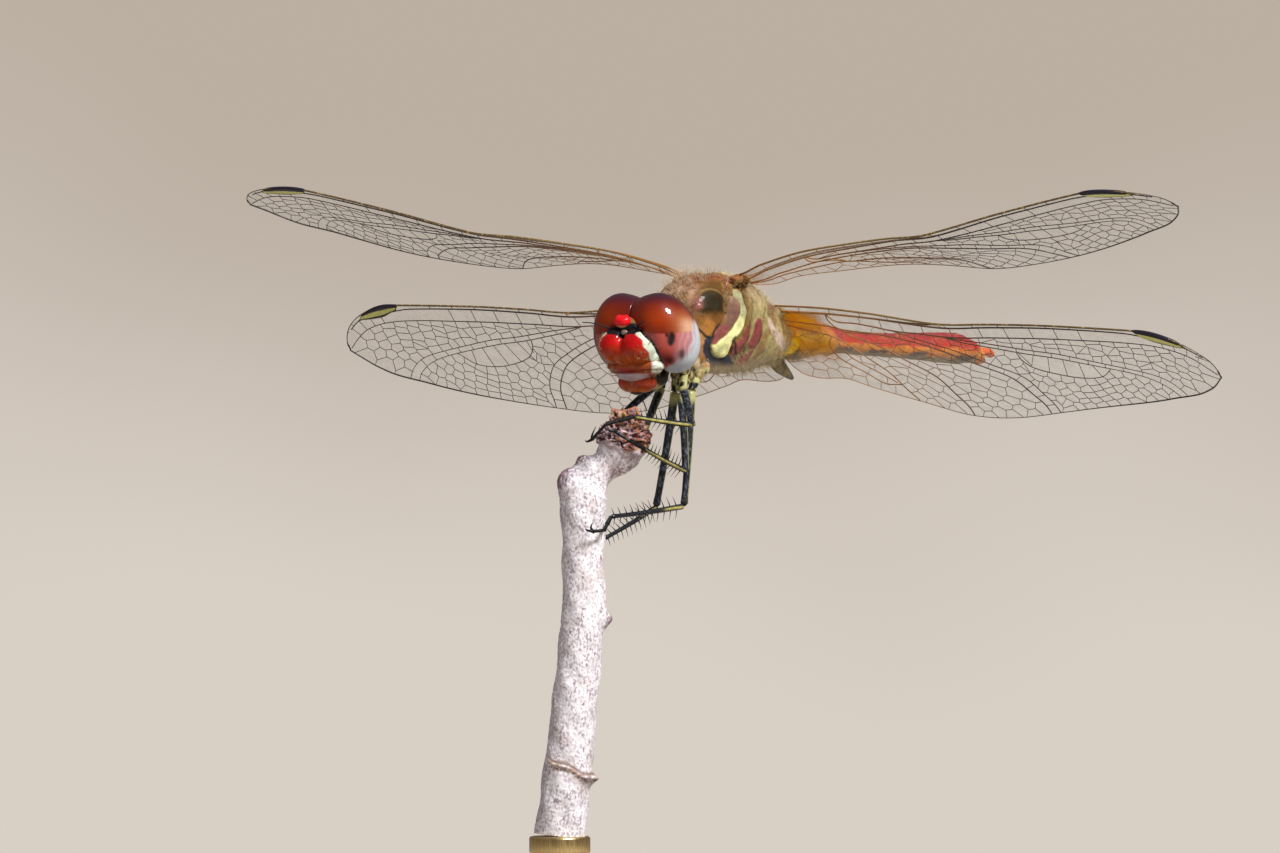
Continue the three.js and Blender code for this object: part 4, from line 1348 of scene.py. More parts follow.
def skull():
    """The head's capsule between and behind the eyes, with the ridge that bears the ocelli."""
    core = ball("core", (0, -6.35, -3.45), (2.25, 1.58, 2.2), (48, 32), pitch=12)
    brow = ball("brow", (0, -7.95, -3.0), (0.86, 0.58, 0.64), (32, 24))
    piece = fuse("head_capsule", [core, brow], 0.06)
    paint = Paint(piece, (0.42, 0.3, 0.1))
    _, y, z = paint.place.T
    paint.coat(ramp(-7.0, -7.4, y), BLACK)
    paint.coat(ramp(-2.8, -2.66, z) * ramp(-8.6, -8.4, y), (0.17, 0.11, 0.04))
    paint.coat(ramp(-5.0, -5.5, y) * ramp(-1.6, -1.2, z), (0.6, 0.38, 0.3))
    paint.coat(ramp(-4.2, -4.6, z) * 0.7, BLACK)
    paint.keep()
    return piece


def crown():
    """The red tubercle between the eyes."""
    peaks = [ball("peak", (x, -8.45, -2.6), (0.26, 0.32, 0.35)) for x in (-0.4, 0)]
    peaks.append(ball("dome", (-0.2, -8.42, -2.64), (0.53, 0.45, 0.37), (32, 24)))
    piece = fuse("crown", peaks, 0.03, smooth=10)
    paint = Paint(piece, (0.56, 0.006, 0.01))
    paint.coat(ramp(-2.84, -2.92, paint.place[:, 2]), (0.5, 0.22, 0.1))
    paint.keep()
    return piece


def beside_eye(piece):
    """Cuts back the face's sides to the line where they meet the eyes. Gives the new places."""
    place = points(piece)
    place[:, 0] = np.sign(place[:, 0]) * np.minimum(np.abs(place[:, 0]), face_edge(place))
    set_points(piece, place)
    return points(piece).T


def pair(name, out, place, radii, grid=(48, 32), middle=0.0):
    """Two balls on both sides of the middle."""
    return [ball(name, (side * out + middle, *place), radii, grid) for side in (-1, 1)]


def frons():
    """The two red lobes of the forehead, cream at their outer sides and black on top, with painted shade in
    the groove between them.
    """
    lobes = pair("lobe", 0.7, (-8.2, -4.02), (1.04, 1.02, 1.04))
    bridge = ball("bridge", (0, -8.12, -4.25), (0.95, 1.03, 0.95), (48, 32))
    cheeks = pair("cheek", 1.12, (-7.62, -4.52), (0.6, 0.75, 0.56), (40, 28))
    piece = fuse("frons_shell", [*lobes, bridge, *cheeks], 0.045, smooth=10)
    x, _, z = beside_eye(piece)
    dent = bell(x, 0, 0.2) * ramp(-4.75, -3.7, z)
    swell(piece, -0.14 * dent)
    paint = Paint(piece, colours().face_red)
    x, _, z = paint.place.T
    paint.coat(ramp(-3.85, -4.35, z + 0.1 * np.sin(x * 3)) * 0.9, (0.27, 0.018, 0.001))
    paint.coat(ramp(-4.35, -4.8, z) * 0.7, (0.3, 0.055, 0.004))
    paint.coat(ramp(-4.75, -5.0, z) * 0.8, colours().face_brown)
    # Painted shade: the groove down the middle of the upper frons is painted a darker red.
    paint.coat(dent * 0.4, (0.24, 0.02, 0.006))
    cream_from = between([(-5.05, 44), (-4.6, 39), (-4.2, 34), (-3.75, 29.5), (-3.4, 23)], z)
    cream = ramp(-1.3, 1.3, bearing(paint.place, FACE_CENTRE) - cream_from + 1.2 * np.sin(z * 9))
    paint.coat(cream, colours().cream)
    black_from = -3.36 - 0.24 * bell(x, 0, 0.26) + 0.12 * ramp(0.8, 1.1, np.abs(x))
    paint.coat(ramp(-0.03, 0.03, z - black_from), BLACK)
    paint.keep()
    return piece


def clypeus():
    """The shield below the forehead: its upper plate brown and cream, its lower one grey-lilac."""
    upper = ball("upper", (0, -7.42, -5.1), (1.8, 1.12, 0.7), (48, 32))
    lower = ball("lower", (-0.05, -7.4, -5.55), (1.12, 1.0, 0.46), (48, 32))
    piece = fuse("clypeus_shell", [upper, lower], 0.045, smooth=8)
    x, _, z = beside_eye(piece)
    seam = bell(z, 0.1 * np.abs(x) - 5.5, 0.05)
    swell(piece, -0.04 * seam)
    paint = Paint(piece, colours().face_brown)
    x, _, z = paint.place.T
    turn = bearing(paint.place, FACE_CENTRE)
    paint.coat(ramp(-5.15, -5.35, z) * ramp(0.9, 0.3, np.abs(x)), (0.2, 0.008, 0.006))
    paint.coat(ramp(40, 46, turn) * ramp(-5.6, -5.45, z), colours().cream)
    paint.coat(ramp(-5.5, -5.58, z), (0.33, 0.25, 0.27))
    paint.coat(ramp(30, 45, turn) * ramp(-5.45, -5.6, z), (0.26, 0.07, 0.04))
    paint.coat(seam * 0.5, (0.06, 0.015, 0.01))
    paint.keep()
    return piece


def upper_lip():
    """The two-lobed upper lip."""
    middle = -0.05
    lobes = pair("lobe", 0.46, (-7.2, -6.02), (0.72, 0.66, 0.56), (40, 28), middle)
    lobes.append(ball("keel", (middle, -7.18, -6.15), (0.72, 0.6, 0.58), (40, 28)))
    lip = fuse("labrum_shell", lobes, 0.04, smooth=5)
    x, _, z = points(lip).T
    swell(lip, -0.07 * bell(x, middle, 0.12) * ramp(-6.5, -5.9, z))
    paint = Paint(lip, (0.26, 0.03, 0.008))
    z = paint.place[:, 2]
    paint.coat(ramp(-5.95, -5.7, z - 0.28 * np.abs(x - middle)), (0.4, 0.27, 0.24))
    paint.coat(ramp(-6.25, -6.5, z) * 0.6, (0.36, 0.12, 0.02))
    paint.coat(ramp(-6.52, -6.62, z), (0.02, 0.012, 0.008))
    paint.coat(bell(x, middle, 0.09) * ramp(-6.4, -6.0, z) * 0.7, (0.34, 0.2, 0.1))
    paint.keep()
    return lip


def lower_lip():
    """The lower lip, painted near-black as shade in the gap under the head, with a pale plate on each side.
    """
    lip = ball("labium_shell", (0, -6.25, -5.72), (1.22, 1.0, 0.74), (48, 36))
    # Painted shade: the lip's near-black ground stands for the shadow in the gap under the head.
    paint = Paint(lip, (0.012, 0.009, 0.006))
    x, _, z = paint.place.T
    plate = ramp(0.25, 0.4, np.abs(x)) * ramp(1.0, 0.85, np.abs(x))
    paint.coat(plate * ramp(-5.95, -6.15, z) * 0.8, (0.5, 0.36, 0.12))
    paint.keep()
    return lip


def bead(name, x, y, z, size):
    """A glassy bead."""
    return ball(name, (x, y, z), (size, size * 0.8, size * 0.75), (24, 16))


def feeler(side):
    """An antenna: two thick joints and a fine bristle."""
    start, end = np.array((side * 0.78, -8.5, -3.14)), np.array((side * 2.1, -9.65, -2.68))
    share = np.linspace(0, 1, 26)[:, None]
    bend = np.array([0.0, 0.0, 1.0]) * (np.sin(share * math.pi) * 0.12)
    path = start * (1 - share) + end * share + bend
    steps = [(0, 0.12), (0.08, 0.12), (0.1, 0.07), (0.17, 0.07), (0.2, 0.045), (1, 0.026)]
    thick = between(steps, share[:, 0])
    name = "antenna_left_bristle" if side > 0 else "antenna_right_bristle"
    return tube(name, path, thick, 10)


class DRAGONFLY_OT_head(bpy.types.Operator):
    """Makes the head's capsule, face, mouth, ocelli and antennae"""

    bl_idname = "dragonfly.head"
    bl_label = "Head"

    def execute(self, context):
        shell = painted(
            "Face shell", 0.36, grain=2.2, depth=0.4, pores=9.0, strength=0.6, Specular_IOR_Level=0.08,
            Coat_Weight=0.32, Coat_Roughness=0.06,
        )
        dark = painted("Head shell", 0.3, pores=10.0)
        finish(skull(), dark, "head_shell", "head")
        finish(crown(), shell, "head_shell", "head")
        finish(frons(), shell, "face_shell", "frons")
        finish(clypeus(), shell, "face_shell", "clypeus")
        finish(upper_lip(), shell, "mouthparts", "labrum")
        finish(lower_lip(), dark, "mouthparts", "labium")
        glass = Finish("Ocellus", Roughness=0.08, Coat_Weight=1.0).paint((0.16, 0.115, 0.07))
        finish(bead("middle_ocellus", 0.06, -8.63, -3.26, 0.22), glass, "head_shell", "head")
        thread = Finish("Antenna", Roughness=0.45, Specular_IOR_Level=0.15).paint(BLACK)
        for x, y, z, size in BEADS:
            beads = [bead("bead", side * x, y, z, size) for side in (-1, 1)]
            finish(join("side_bead", beads), thread, "head_shell", "head")
        for side, node in ((1, "antenna_left"), (-1, "antenna_right")):
            finish(feeler(side), thread, "antenna", node)
        return {"FINISHED"}


# ------------------------------------------------------------------ trunk

# The trunk's upper and lower outline and half width, by place along it.
TRUNK_TOP = [
    (-3.95, -1.95), (-3.3, -0.95), (-2.2, -0.25), (-0.6, 0.12), (1.2, 0.12), (2.6, -0.4), (4.2, -1.45),
    (5.9, -2.15),
]
TRUNK_BELLY = [(-3.95, -4.75), (-3.3, -5.2), (-2, -5.45), (1, -5.5), (4, -5.2), (5.9, -4.75)]
TRUNK_WIDTH = [(-3.95, 1.35), (-3.3, 1.75), (-2, 2.12), (0.5, 2.32), (3, 2.25), (4.6, 2.0), (5.9, 1.6)]

# Seams between the side plates, as (y, z).
HUMERAL_SEAM = [
    (-0.95, -0.45), (-1.35, -1.05), (-1.69, -1.56), (-1.76, -2.16), (-1.99, -2.61), (-2.5, -3.2),
    (-2.62, -4.1), (-1.9, -4.55), (-1.0, -4.7), (-0.7, -4.35),
]
MIDDLE_SEAM = [
    (0.1, -0.7), (0.3, -1.93), (0.15, -2.39), (-0.07, -2.94), (-0.45, -3.4), (-0.8, -3.9), (-0.7, -4.5),
]
THIRD_SEAM = [(1.1, -1.3), (0.8, -2.4), (0.5, -3.3), (0.46, -3.9), (0.75, -4.6)]
HIND_SEAM = [(2.3, -1.9), (1.95, -2.6), (1.8, -3.4), (1.55, -4.1), (1.62, -4.9)]
# Outlines of the coloured patches, as (y, z).
DISC = [
    (-3.6, -1.67), (-3.1, -0.81), (-2.52, -0.45), (-2.0, -0.22), (-1.55, -0.17), (-1.3, -0.45),
    (-1.35, -1.05), (-1.69, -1.56), (-1.76, -2.16), (-1.99, -2.61), (-2.6, -2.1), (-3.3, -2.0),
]
WINDOW = [
    (-3.5, -1.75), (-3.3, -1.25), (-2.9, -0.9), (-2.41, -0.78), (-1.93, -0.9), (-1.66, -1.2),
    (-1.75, -1.8), (-2.15, -2.25), (-2.75, -2.2), (-3.3, -2.15),
]
ORANGE = [
    (-3.67, -2.18), (-3.51, -2.67), (-3.49, -3.07), (-3.03, -3.42), (-2.63, -3.17), (-2.36, -2.81),
    (-1.92, -2.66), (-1.94, -2.16), (-2.53, -1.97), (-3.16, -1.67), (-3.51, -1.97),
]
MAUVE_UPPER = [
    (-1.02, -1.15), (-0.5, -1.39), (-0.36, -1.84), (-0.59, -2.35), (-1.01, -2.75), (-1.43, -3.01),
    (-1.78, -2.76), (-1.58, -2.16), (-1.34, -1.55),
]
MAUVE_LOWER = [
    (-2.4, -3.01), (-1.93, -2.76), (-1.43, -3.01), (-1.67, -3.31), (-2.12, -3.66), (-2.42, -3.91),
    (-2.66, -3.67),
]
STRIPE = [
    (-0.55, -0.79), (0.05, -0.93), (0.01, -1.54), (0.3, -1.93), (0.15, -2.39), (-0.07, -2.94),
    (-0.45, -3.4), (-0.96, -3.65), (-0.88, -4.05), (-0.86, -4.45), (-1.15, -4.65), (-1.94, -4.51),
    (-2.44, -4.16), (-2.54, -3.91), (-2.12, -3.66), (-1.45, -3.25), (-0.93, -2.75), (-0.49, -2.24),
    (-0.35, -1.74), (-0.5, -1.39), (-0.79, -1.14),
]
SLATE_LOW = [
    (-3.13, -3.52), (-2.76, -3.47), (-2.5, -4.16), (-1.7, -4.6), (-0.9, -4.6), (-0.7, -4.45),
    (0.06, -4.79), (0.73, -5.03), (0.33, -5.29), (-0.48, -5.24), (-1.77, -5.0), (-2.62, -4.56),
    (-3.02, -4.17),
]
PEACH = [
    (-3.54, -3.22), (-3.19, -3.52), (-3.15, -3.97), (-2.62, -4.56), (-1.94, -5.1), (-2.6, -5.11),
    (-3.29, -4.17),
]
RIDGE = [(2.6, -2.3), (3.35, -2.95), (4.7, -3.6), (4.75, -4.2), (3.4, -3.6), (2.5, -2.8)]
MAROON_FRONT = [
    (0.1, -2.95), (0.49, -2.76), (0.47, -3.29), (0.36, -3.7), (0.1, -4.2), (-0.3, -4.5), (-0.68, -4.25),
    (-0.62, -3.86), (-0.17, -3.54), (0.04, -3.2),
]
BLUSH = [(-3.78, -2.1), (-3.6, -1.35), (-3.2, -0.95), (-3.15, -1.5), (-3.4, -1.95)]
MAROON_REAR = [
    (1.02, -2.63), (1.53, -2.37), (1.79, -2.82), (1.76, -3.37), (1.53, -3.93), (1.09, -4.13),
    (0.62, -3.84), (0.77, -3.43),
]
PINK_LOW = [(0.66, -4.88), (0.88, -4.38), (1.54, -4.13), (1.6, -4.63), (1.55, -5.13)]
BLACK_LINES = [
    [(-3.54, -3.07), (-3.02, -3.47), (-2.57, -3.47), (-2.57, -3.17), (-2.1, -2.75)],
    [(-2.6, -3.5), (-2.63, -4.16), (-1.88, -4.58), (-1.12, -4.67), (-0.82, -4.5), (-0.72, -4.05)],
    [(-0.96, -3.65), (-0.76, -3.5), (-0.38, -4.24), (0.09, -4.49), (0.24, -4.69)],
    [(0.55, -2.6), (0.52, -3.3), (0.42, -3.7), (0.1, -4.05)],
    [(1.85, -2.7), (1.82, -3.4), (1.58, -4.0)],
]


def trunk_section(y, count=72):
    """The ring of the trunk at one place along it."""
    turn = np.linspace(0, 2 * math.pi, count, endpoint=False)
    c, s = np.cos(turn), np.sin(turn)
    square = np.where(s > 0, 0.5, 0.85)
    taper = np.where(s > 0, 0.1, 0.34)
    top, belly, wide = (float(between(t, y)) for t in (TRUNK_TOP, TRUNK_BELLY, TRUNK_WIDTH))
    middle, half = (top + belly) / 2, (top - belly) / 2
    x = np.sign(c) * np.abs(c) ** square * wide * (1 - taper * s * s)
    z = middle + np.sign(s) * np.abs(s) ** 0.85 * half
    return np.stack([x, np.full(count, y), z], axis=1)


# Each leg's points: hip, joint, knee, ankle, the foot's middle and its tip.
LEGS = {
    "front_left": [
        (1, -4.1, -4.7), (1.18, -4.5, -6.34), (3.11, -6.45, -8.38), (1.21, -9.32, -7.92),
        (0.07, -10.46, -8.33), (-0.85, -10.48, -9.19),
    ],
    "middle_left": [
        (0.95, -3.2, -4.9), (0.64, -3.9, -6.56), (1.29, -4.41, -10.94), (1.6, -8.87, -9.72),
        (1.2, -9.75, -9.25), (0.54, -10.26, -8.75),
    ],
    "hind_left": [
        (0.85, -2.1, -5), (0.74, -2.99, -6.44), (1.11, -4.28, -12.92), (-0.22, -9.55, -13.47),
        (-0.23, -10.22, -14.23), (-0.53, -10.85, -14.28),
    ],
    "front_right": [
        (-0.9, -4.2, -4.7), (-0.56, -4.72, -6.2), (-1.59, -7.36, -8.35), (-2.35, -7.93, -10.24),
        (-2.73, -8.25, -10.8), (-3.02, -8.81, -11.36),
    ],
    "middle_right": [
        (-0.95, -3.2, -4.9), (-0.95, -3.54, -6.32), (-0.25, -6.56, -9.24), (-2.15, -7.43, -11.47),
        (-2.39, -7.77, -12.42), (-2.66, -8.07, -13.2),
    ],
    "hind_right": [
        (-0.9, -2, -5), (-0.81, -2.35, -6.49), (-1.08, -3.84, -12.99), (-1.77, -7.88, -14.7),
        (-2.34, -8.03, -14.53), (-2.92, -8.37, -14.31),
    ],
}

# The wings' bases and knuckles and the shoulders: distance from the middle, place, radii and grid.
WING_BASES = [
    (1.85, (0.25, -0.24), (0.5, 0.85, 0.3), (24, 18)), (2.02, (-0.35, -0.3), (0.3, 0.3, 0.26), (20, 14)),
    (1.68, (4.1, -1.98), (0.42, 0.9, 0.3), (24, 18)), (1.8, (3.3, -1.9), (0.3, 0.32, 0.28), (20, 14)),
    (0.62, (-0.35, -0.02), (0.5, 0.62, 0.2), (24, 18)), (0.5, (3.0, -0.85), (0.42, 0.6, 0.25), (24, 18)),
]


def trunk_parts():
    """The overlapping forms that the trunk's skin is fused from."""
    parts = [loft("core", [trunk_section(y) for y in np.linspace(-3.95, 5.9, 96)])]
    parts.append(ball("collar", (0, -3.98, -3.75), (1.35, 0.46, 1.4), (40, 28)))
    parts.append(ball("neck", (0, -4.6, -3.6), (0.75, 0.6, 0.8), (32, 24)))
    for leg in LEGS.values():
        hip, joint = Vector(leg[0]), Vector(leg[1])
        parts.append(ball("hip", hip + Vector((0, 0, -0.12)), (0.44, 0.46, 0.5)))
        parts.append(ball("coxa", hip.lerp(joint, 0.36), (0.36, 0.36, 0.42)))
    for side in (-1, 1):
        for out, spot, radii, grid in WING_BASES:
            parts.append(ball("base", (side * out, *spot), radii, grid))
    parts.append(ball("shield", (0, 1.05, 0.0), (0.42, 0.5, 0.28)))
    parts.append(ball("rear_shield", (0, 4.15, -1.35), (0.38, 0.45, 0.26)))
    return parts


def strongest(mask, lines, flat, width):
    """The largest of a mask's values for many lines or outlines."""
    return np.max([mask(line, flat, width) for line in lines], axis=0)


def trunk():
    """The trunk's one skin, with its seams and painted plates."""
    skin = fuse("trunk_skin", trunk_parts(), sizes().voxel, smooth=5)
    place = points(skin)
    x, y, z = place.T
    flat, outer = place[:, 1:], ramp(0.9, 1.4, np.abs(x))
    seams = strongest(groove, (HUMERAL_SEAM, MIDDLE_SEAM, THIRD_SEAM, HIND_SEAM), flat, 0.09)
    plates = strongest(patch, (DISC, MAUVE_UPPER, STRIPE, MAROON_REAR, MAROON_FRONT), flat, 0.16)
    keel = bell(x, 0, 0.09) * ramp(-3.7, -3.2, y) * ramp(-0.9, -1.5, y)
    dip = (bell(y, 0.3, 0.12) + bell(y, 2.2, 0.14)) * ramp(1.5, 0.9, np.abs(x)) * ramp(-1.6, -1.2, z)
    knobs = outer * bell(y, 0.1, 0.8) * bell(z, -0.35, 0.4) * lumps(place, 0.2, 88.0)
    relief = outer * (0.07 * plates - 0.09 * seams) + 0.1 * keel - 0.1 * dip
    swell(skin, relief + 0.03 * lumps(place, 0.5, 1.0) + 0.25 * knobs)
    paint_trunk(skin, outer, seams)
    return skin


def paint_trunk(skin, outer, seams):
    """Lays the plates' colours on the trunk."""
    c = colours()
    paint = Paint(skin, c.trunk)
    place = paint.place
    x, y, z = place.T
    flat = place[:, 1:]
    cloud = lumps(place, 0.9, 6.0)
    paint.coat(ramp(-1.2, -0.2, z) * ramp(-3.8, -2.5, y) * (0.5 + cloud), (0.3, 0.07, 0.04))
    paint.coat(ramp(-1.7, -3.2, y) * ramp(-2.0, -1.3, z) * (0.55 + cloud), (0.38, 0.22, 0.14))
    rear = ramp(-0.2, 1.1, y + 0.9 * cloud * (1 - outer) - 0.3 * outer)
    paint.coat(rear, (0.42, 0.34, 0.15))
    paint.coat(rear * ramp(0.0, 0.5, cloud), (0.3, 0.18, 0.07))
    paint.coat(rear * ramp(-1.9, -0.9, z), (0.46, 0.34, 0.2))
    paint.coat(bell(y, 3.4, 0.7) * bell(z, -1.75, 0.35) * 0.85, (0.14, 0.03, 0.03))
    paint.coat(ramp(-4.3, -4.9, z) * 0.9, (0.36, 0.27, 0.16))
    paint.coat(ramp(4.0, 4.9, y) * 0.8, (0.5, 0.33, 0.12))
    paint.coat(patch(RIDGE, flat, 0.1) * outer, (0.6, 0.46, 0.38))
    paint.coat(patch(DISC, flat, 0.3) * outer, (0.11, 0.05, 0.009))
    paint.coat(patch(WINDOW, flat, 0.32) * outer, (0.02, 0.013, 0.003))
    paint.coat(groove(WINDOW[1:6], flat, 0.05) * outer * 0.5, (0.34, 0.2, 0.07))
    paint.coat(groove(DISC[5:10], flat, 0.1) * outer * 0.5, (0.3, 0.18, 0.07))
    paint.coat(patch(BLUSH, flat, 0.2) * outer * (0.4 + cloud), (0.22, 0.07, 0.055))
    glow = patch(ORANGE, flat, 0.14) * outer
    paint.coat(glow * ramp(-1.95, -2.6, z + 0.6 * cloud), (0.12, 0.04, 0.007))
    paint.coat(glow * ramp(-2.15, -3.0, z + 0.5 * cloud), (0.31, 0.13, 0.028))
    for outline, tint in (
        (PEACH, (0.44, 0.21, 0.08)), (SLATE_LOW, c.slate), (STRIPE, c.stripe), (MAUVE_UPPER, c.mauve),
        (MAUVE_LOWER, (0.22, 0.065, 0.055)), (MAROON_FRONT, (0.22, 0.05, 0.045)),
        (MAROON_REAR, (0.25, 0.06, 0.055)), (PINK_LOW, (0.36, 0.12, 0.09)),
    ):
        paint.coat(patch(outline, flat, 0.05) * outer, tint)
    paint.coat(patch(STRIPE, flat, 0.05) * outer * ramp(-3.3, -1.7, z) * 0.95, (0.3, 0.29, 0.16))
    paint.coat(patch(MAUVE_UPPER, flat, 0.05) * outer * ramp(-1.8, -1.3, z) * 0.6, (0.25, 0.16, 0.1))
    for line in BLACK_LINES:
        paint.coat(groove(line, flat, 0.075) * outer * 0.95, BLACK)
    paint.coat(seams * outer * 0.5, (0.05, 0.03, 0.02))
    yellow = bell(y, 0.1, 0.5) * bell(z, -0.55, 0.3) * ramp(1.4, 1.8, np.abs(x))
    streaks = lumps(place * (0.4, 1, 1), 0.16, 15.0)
    paint.coat(yellow * 1.4, (0.035, 0.018, 0.01))
    paint.coat(yellow * 1.2 * ramp(0.05, 0.25, streaks), (0.42, 0.2, 0.025))
    spots = lumps(place * (1, 1, 0.5), 0.3, 33.0)
    for leg in LEGS.values():
        hip, joint = np.array(leg[0]), np.array(leg[1])
        away = distance_to(np.array([hip + (joint - hip) * 0.1, joint]), place)
        near = ramp(0.75, 0.5, away) * ramp(-5.05, -5.3, z)
        paint.coat(near, (0.34, 0.25, 0.1))
        paint.coat(near * ramp(0.02, 0.2, spots) * 0.9, (0.03, 0.026, 0.02))
        paint.coat(near * ramp(-0.14, -0.26, spots), (0.42, 0.4, 0.17))
    paint.shade(1.0 + 0.18 * lumps(place, 0.25, 9.0))
    paint.keep()


class DRAGONFLY_OT_trunk(bpy.types.Operator):
    """Makes the trunk with its neck, collar, hips and wing bases as one skin"""

    bl_idname = "dragonfly.trunk"
    bl_label = "Trunk"

    def execute(self, context):
        shell = painted(
            "Trunk shell", 0.42, grain=2.6, depth=0.45, pores=8.0, strength=0.5, Specular_IOR_Level=0.12,
            Coat_Weight=0.08,
        )
        finish(trunk(), shell, "thorax_shell", "thorax", "prothorax", "neck")
        return {"FINISHED"}


# ------------------------------------------------------------------ abdomen

# Where each segment starts, and the last one's end.
JOINTS = [5.97, 6.87, 8.87, 11.97, 15.27, 18.47, 21.47, 24.07, 25.97, 27.27, 27.97]
ABDOMEN_MIDDLE = [(6, -3.42), (8, -3.42), (12.8, -3.6), (16.5, -3.78), (23, -3.9), (26.2, -4.0), (28, -4.22)]
ABDOMEN_HEIGHT = [
    (6, 1.3), (8, 1.38), (10, 1.12), (12, 0.86), (14, 0.7), (17, 0.69), (20, 0.74), (23, 0.86),
    (25.4, 0.92), (27, 0.72), (28, 0.5),
]
ABDOMEN_WIDTH = [
    (6, 1.45), (7.6, 1.6), (10, 1.3), (12.5, 1.02), (15, 0.95), (18, 1.02), (21, 1.15), (24, 1.25),
    (25.6, 1.2), (27, 0.88), (28, 0.6),
]

# Where the dark blotches of its lower sides start and end.
BLOTCHES = [(6.6, 9.4), (11.2, 13.6), (15.1, 17.2), (19.4, 21.1), (24.1, 26.6)]


def joint_depth(y):
    """How near each place is to a joint between two segments: 1 at the joint."""
    return np.max([bell(y, joint, 0.07) for joint in JOINTS[1:-1]], axis=0)


def abdomen():
    """The abdomen's one skin, with its joints, side keels and painted bands."""
    y = np.linspace(5.9, 27.97, 330)[:, None]
    turn = np.linspace(0, 2 * math.pi, 72, endpoint=False)[None]
    up = np.sin(turn)
    overlap = 0.035 * np.max([bell(y, joint - 0.22, 0.16) for joint in JOINTS[1:]], axis=0)
    size = 1 + overlap - 0.055 * joint_depth(y) - 0.1 * bell(y, JOINTS[0], 0.25)
    keel = 0.05 * bell(up, -0.12, 0.16)
    x = np.cos(turn) * between(ABDOMEN_WIDTH, y) * (1 - 0.1 * up) * (size + keel)
    flat_belly = np.where(up < -0.55, 0.9, 1.0)
    z = between(ABDOMEN_MIDDLE, y) + up * between(ABDOMEN_HEIGHT, y) * size * flat_belly
    crest = 0.05 * bell(x, 0, 0.08) * (up > 0)
    skin = loft("abdomen_skin", np.stack([x, y + 0 * x, z + crest], axis=-1))
    swell(skin, 0.012 * lumps(points(skin), 0.3, 3.0))
    paint_abdomen(skin)
    return skin


def paint_abdomen(skin):
    """Red above, orange at the lower sides with dark blotches, grey-olive beneath."""
    c = colours()
    paint = Paint(skin, c.abdomen_red)
    place = paint.place
    x, y, z = place.T
    up = (z - between(ABDOMEN_MIDDLE, y)) / between(ABDOMEN_HEIGHT, y)
    cloud = lumps(place, 0.7, 12.0)
    crimson = np.max([bell(y, joint - 0.35, 0.5) for joint in JOINTS[3:-2]], axis=0)
    paint.coat(crimson * ramp(0.1, 0.6, up) * 0.7, (0.25, 0.01, 0.02))
    paint.coat(ramp(0.55, 0.95, up) * 0.4, (0.24, 0.015, 0.03))
    base = ramp(11.6, 9.6, y + 0.8 * cloud)
    paint.coat(base, (0.84, 0.34, 0.001))
    paint.coat(base * ramp(8.9, 10.2, y) * ramp(-0.2, 0.5, up), (0.62, 0.13, 0.004))
    paint.coat(base * ramp(7.4, 6.2, y) * 0.7, (0.42, 0.09, 0.002))
    rust = ramp(0.12, 0.32, lumps(place, 0.5, 51.0)) * ramp(-0.1, 0.3, up)
    paint.coat(base * rust, (0.45, 0.06, 0.004))
    low = ramp(0.1, -0.25, up + 0.2 * cloud)
    paint.coat(low, c.abdomen_orange)
    paint.coat(low * base * 0.9, (0.85, 0.46, 0.001))
    gold = base * ramp(-0.05, 0.2, lumps(place * (1, 0.5, 1), 0.45, 63.0)) * ramp(0.5, 0.1, up)
    paint.coat(gold, (0.9, 0.6, 0.001))
    for start, end in BLOTCHES:
        along = (y - (start + end) / 2) / ((end - start) / 2)
        blot = ramp(1.15, 0.7, np.abs(along)) * ramp(-0.28, -0.5, up + 0.1 * cloud)
        paint.coat(blot * 0.92, (0.035, 0.03, 0.03))
    paint.coat(ramp(-0.55, -0.8, up + 0.1 * cloud) * 0.9, (0.17, 0.15, 0.09))
    paint.coat(ramp(26.6, 27.6, y) * 0.7, (0.7, 0.24, 0.06))
    paint.coat(joint_depth(y) * ramp(-0.5, 0.1, up) * 0.6, (0.12, 0.02, 0.012))
    paint.coat(bell(x, 0, 0.05) * ramp(0.5, 0.8, up) * ramp(24.0, 25.0, y), BLACK)
    paint.keep()


def rod(name, path, stations, steps, sides):
    """A tapered tube through a few points, as thick as its stations (share, half thickness) say."""
    return tube(name, spline(path, steps), between(stations, np.linspace(0, 1, steps)), sides)


def clasper(side, name):
    """One of the two upper claspers."""
    path = [
        (side * 0.3, 27.8, -4.07), (side * 0.34, 27.97, -4.08), (side * 0.46, 28.42, -4.1),
        (side * 0.44, 28.92, -4.22), (side * 0.33, 29.27, -4.2),
    ]
    piece = rod(name, path, [(0, 0.2), (0.3, 0.24), (0.65, 0.24), (0.85, 0.15), (1, 0.05)], 26, 20)
    paint = Paint(piece, (0.55, 0.09, 0.02))
    paint.coat(ramp(28.8, 29.2, paint.place[:, 1]), BLACK)
    paint.keep()
    return piece


def lower_clasper():
    """The single lower clasper."""
    path = [(0, 27.8, -4.48), (0, 27.97, -4.5), (0, 28.37, -4.56), (0, 28.8, -4.6)]
    piece = rod("epiproct_skin", path, [(0, 0.3), (0.5, 0.27), (1, 0.12)], 20, 20)
    Paint(piece, (0.5, 0.16, 0.04)).keep()
    return piece


def lobe():
    """The lobe and hooks under the second segment."""
    path = [(0, 6.3, -4.4), (0, 6.9, -4.95), (0, 7.6, -5.35), (0, 8.35, -5.72)]
    piece = rod("genital_lobe_skin", path, [(0, 0.5), (0.45, 0.38), (0.8, 0.24), (1, 0.12)], 26, 24)
    paint = Paint(piece, (0.23, 0.18, 0.085))
    paint.coat(ramp(7.4, 8.2, paint.place[:, 1]), (0.13, 0.11, 0.08))
    paint.coat(ramp(0.05, 0.2, lumps(paint.place, 0.4, 12.0)) * 0.6, (0.06, 0.045, 0.03))
    paint.keep()
    return piece


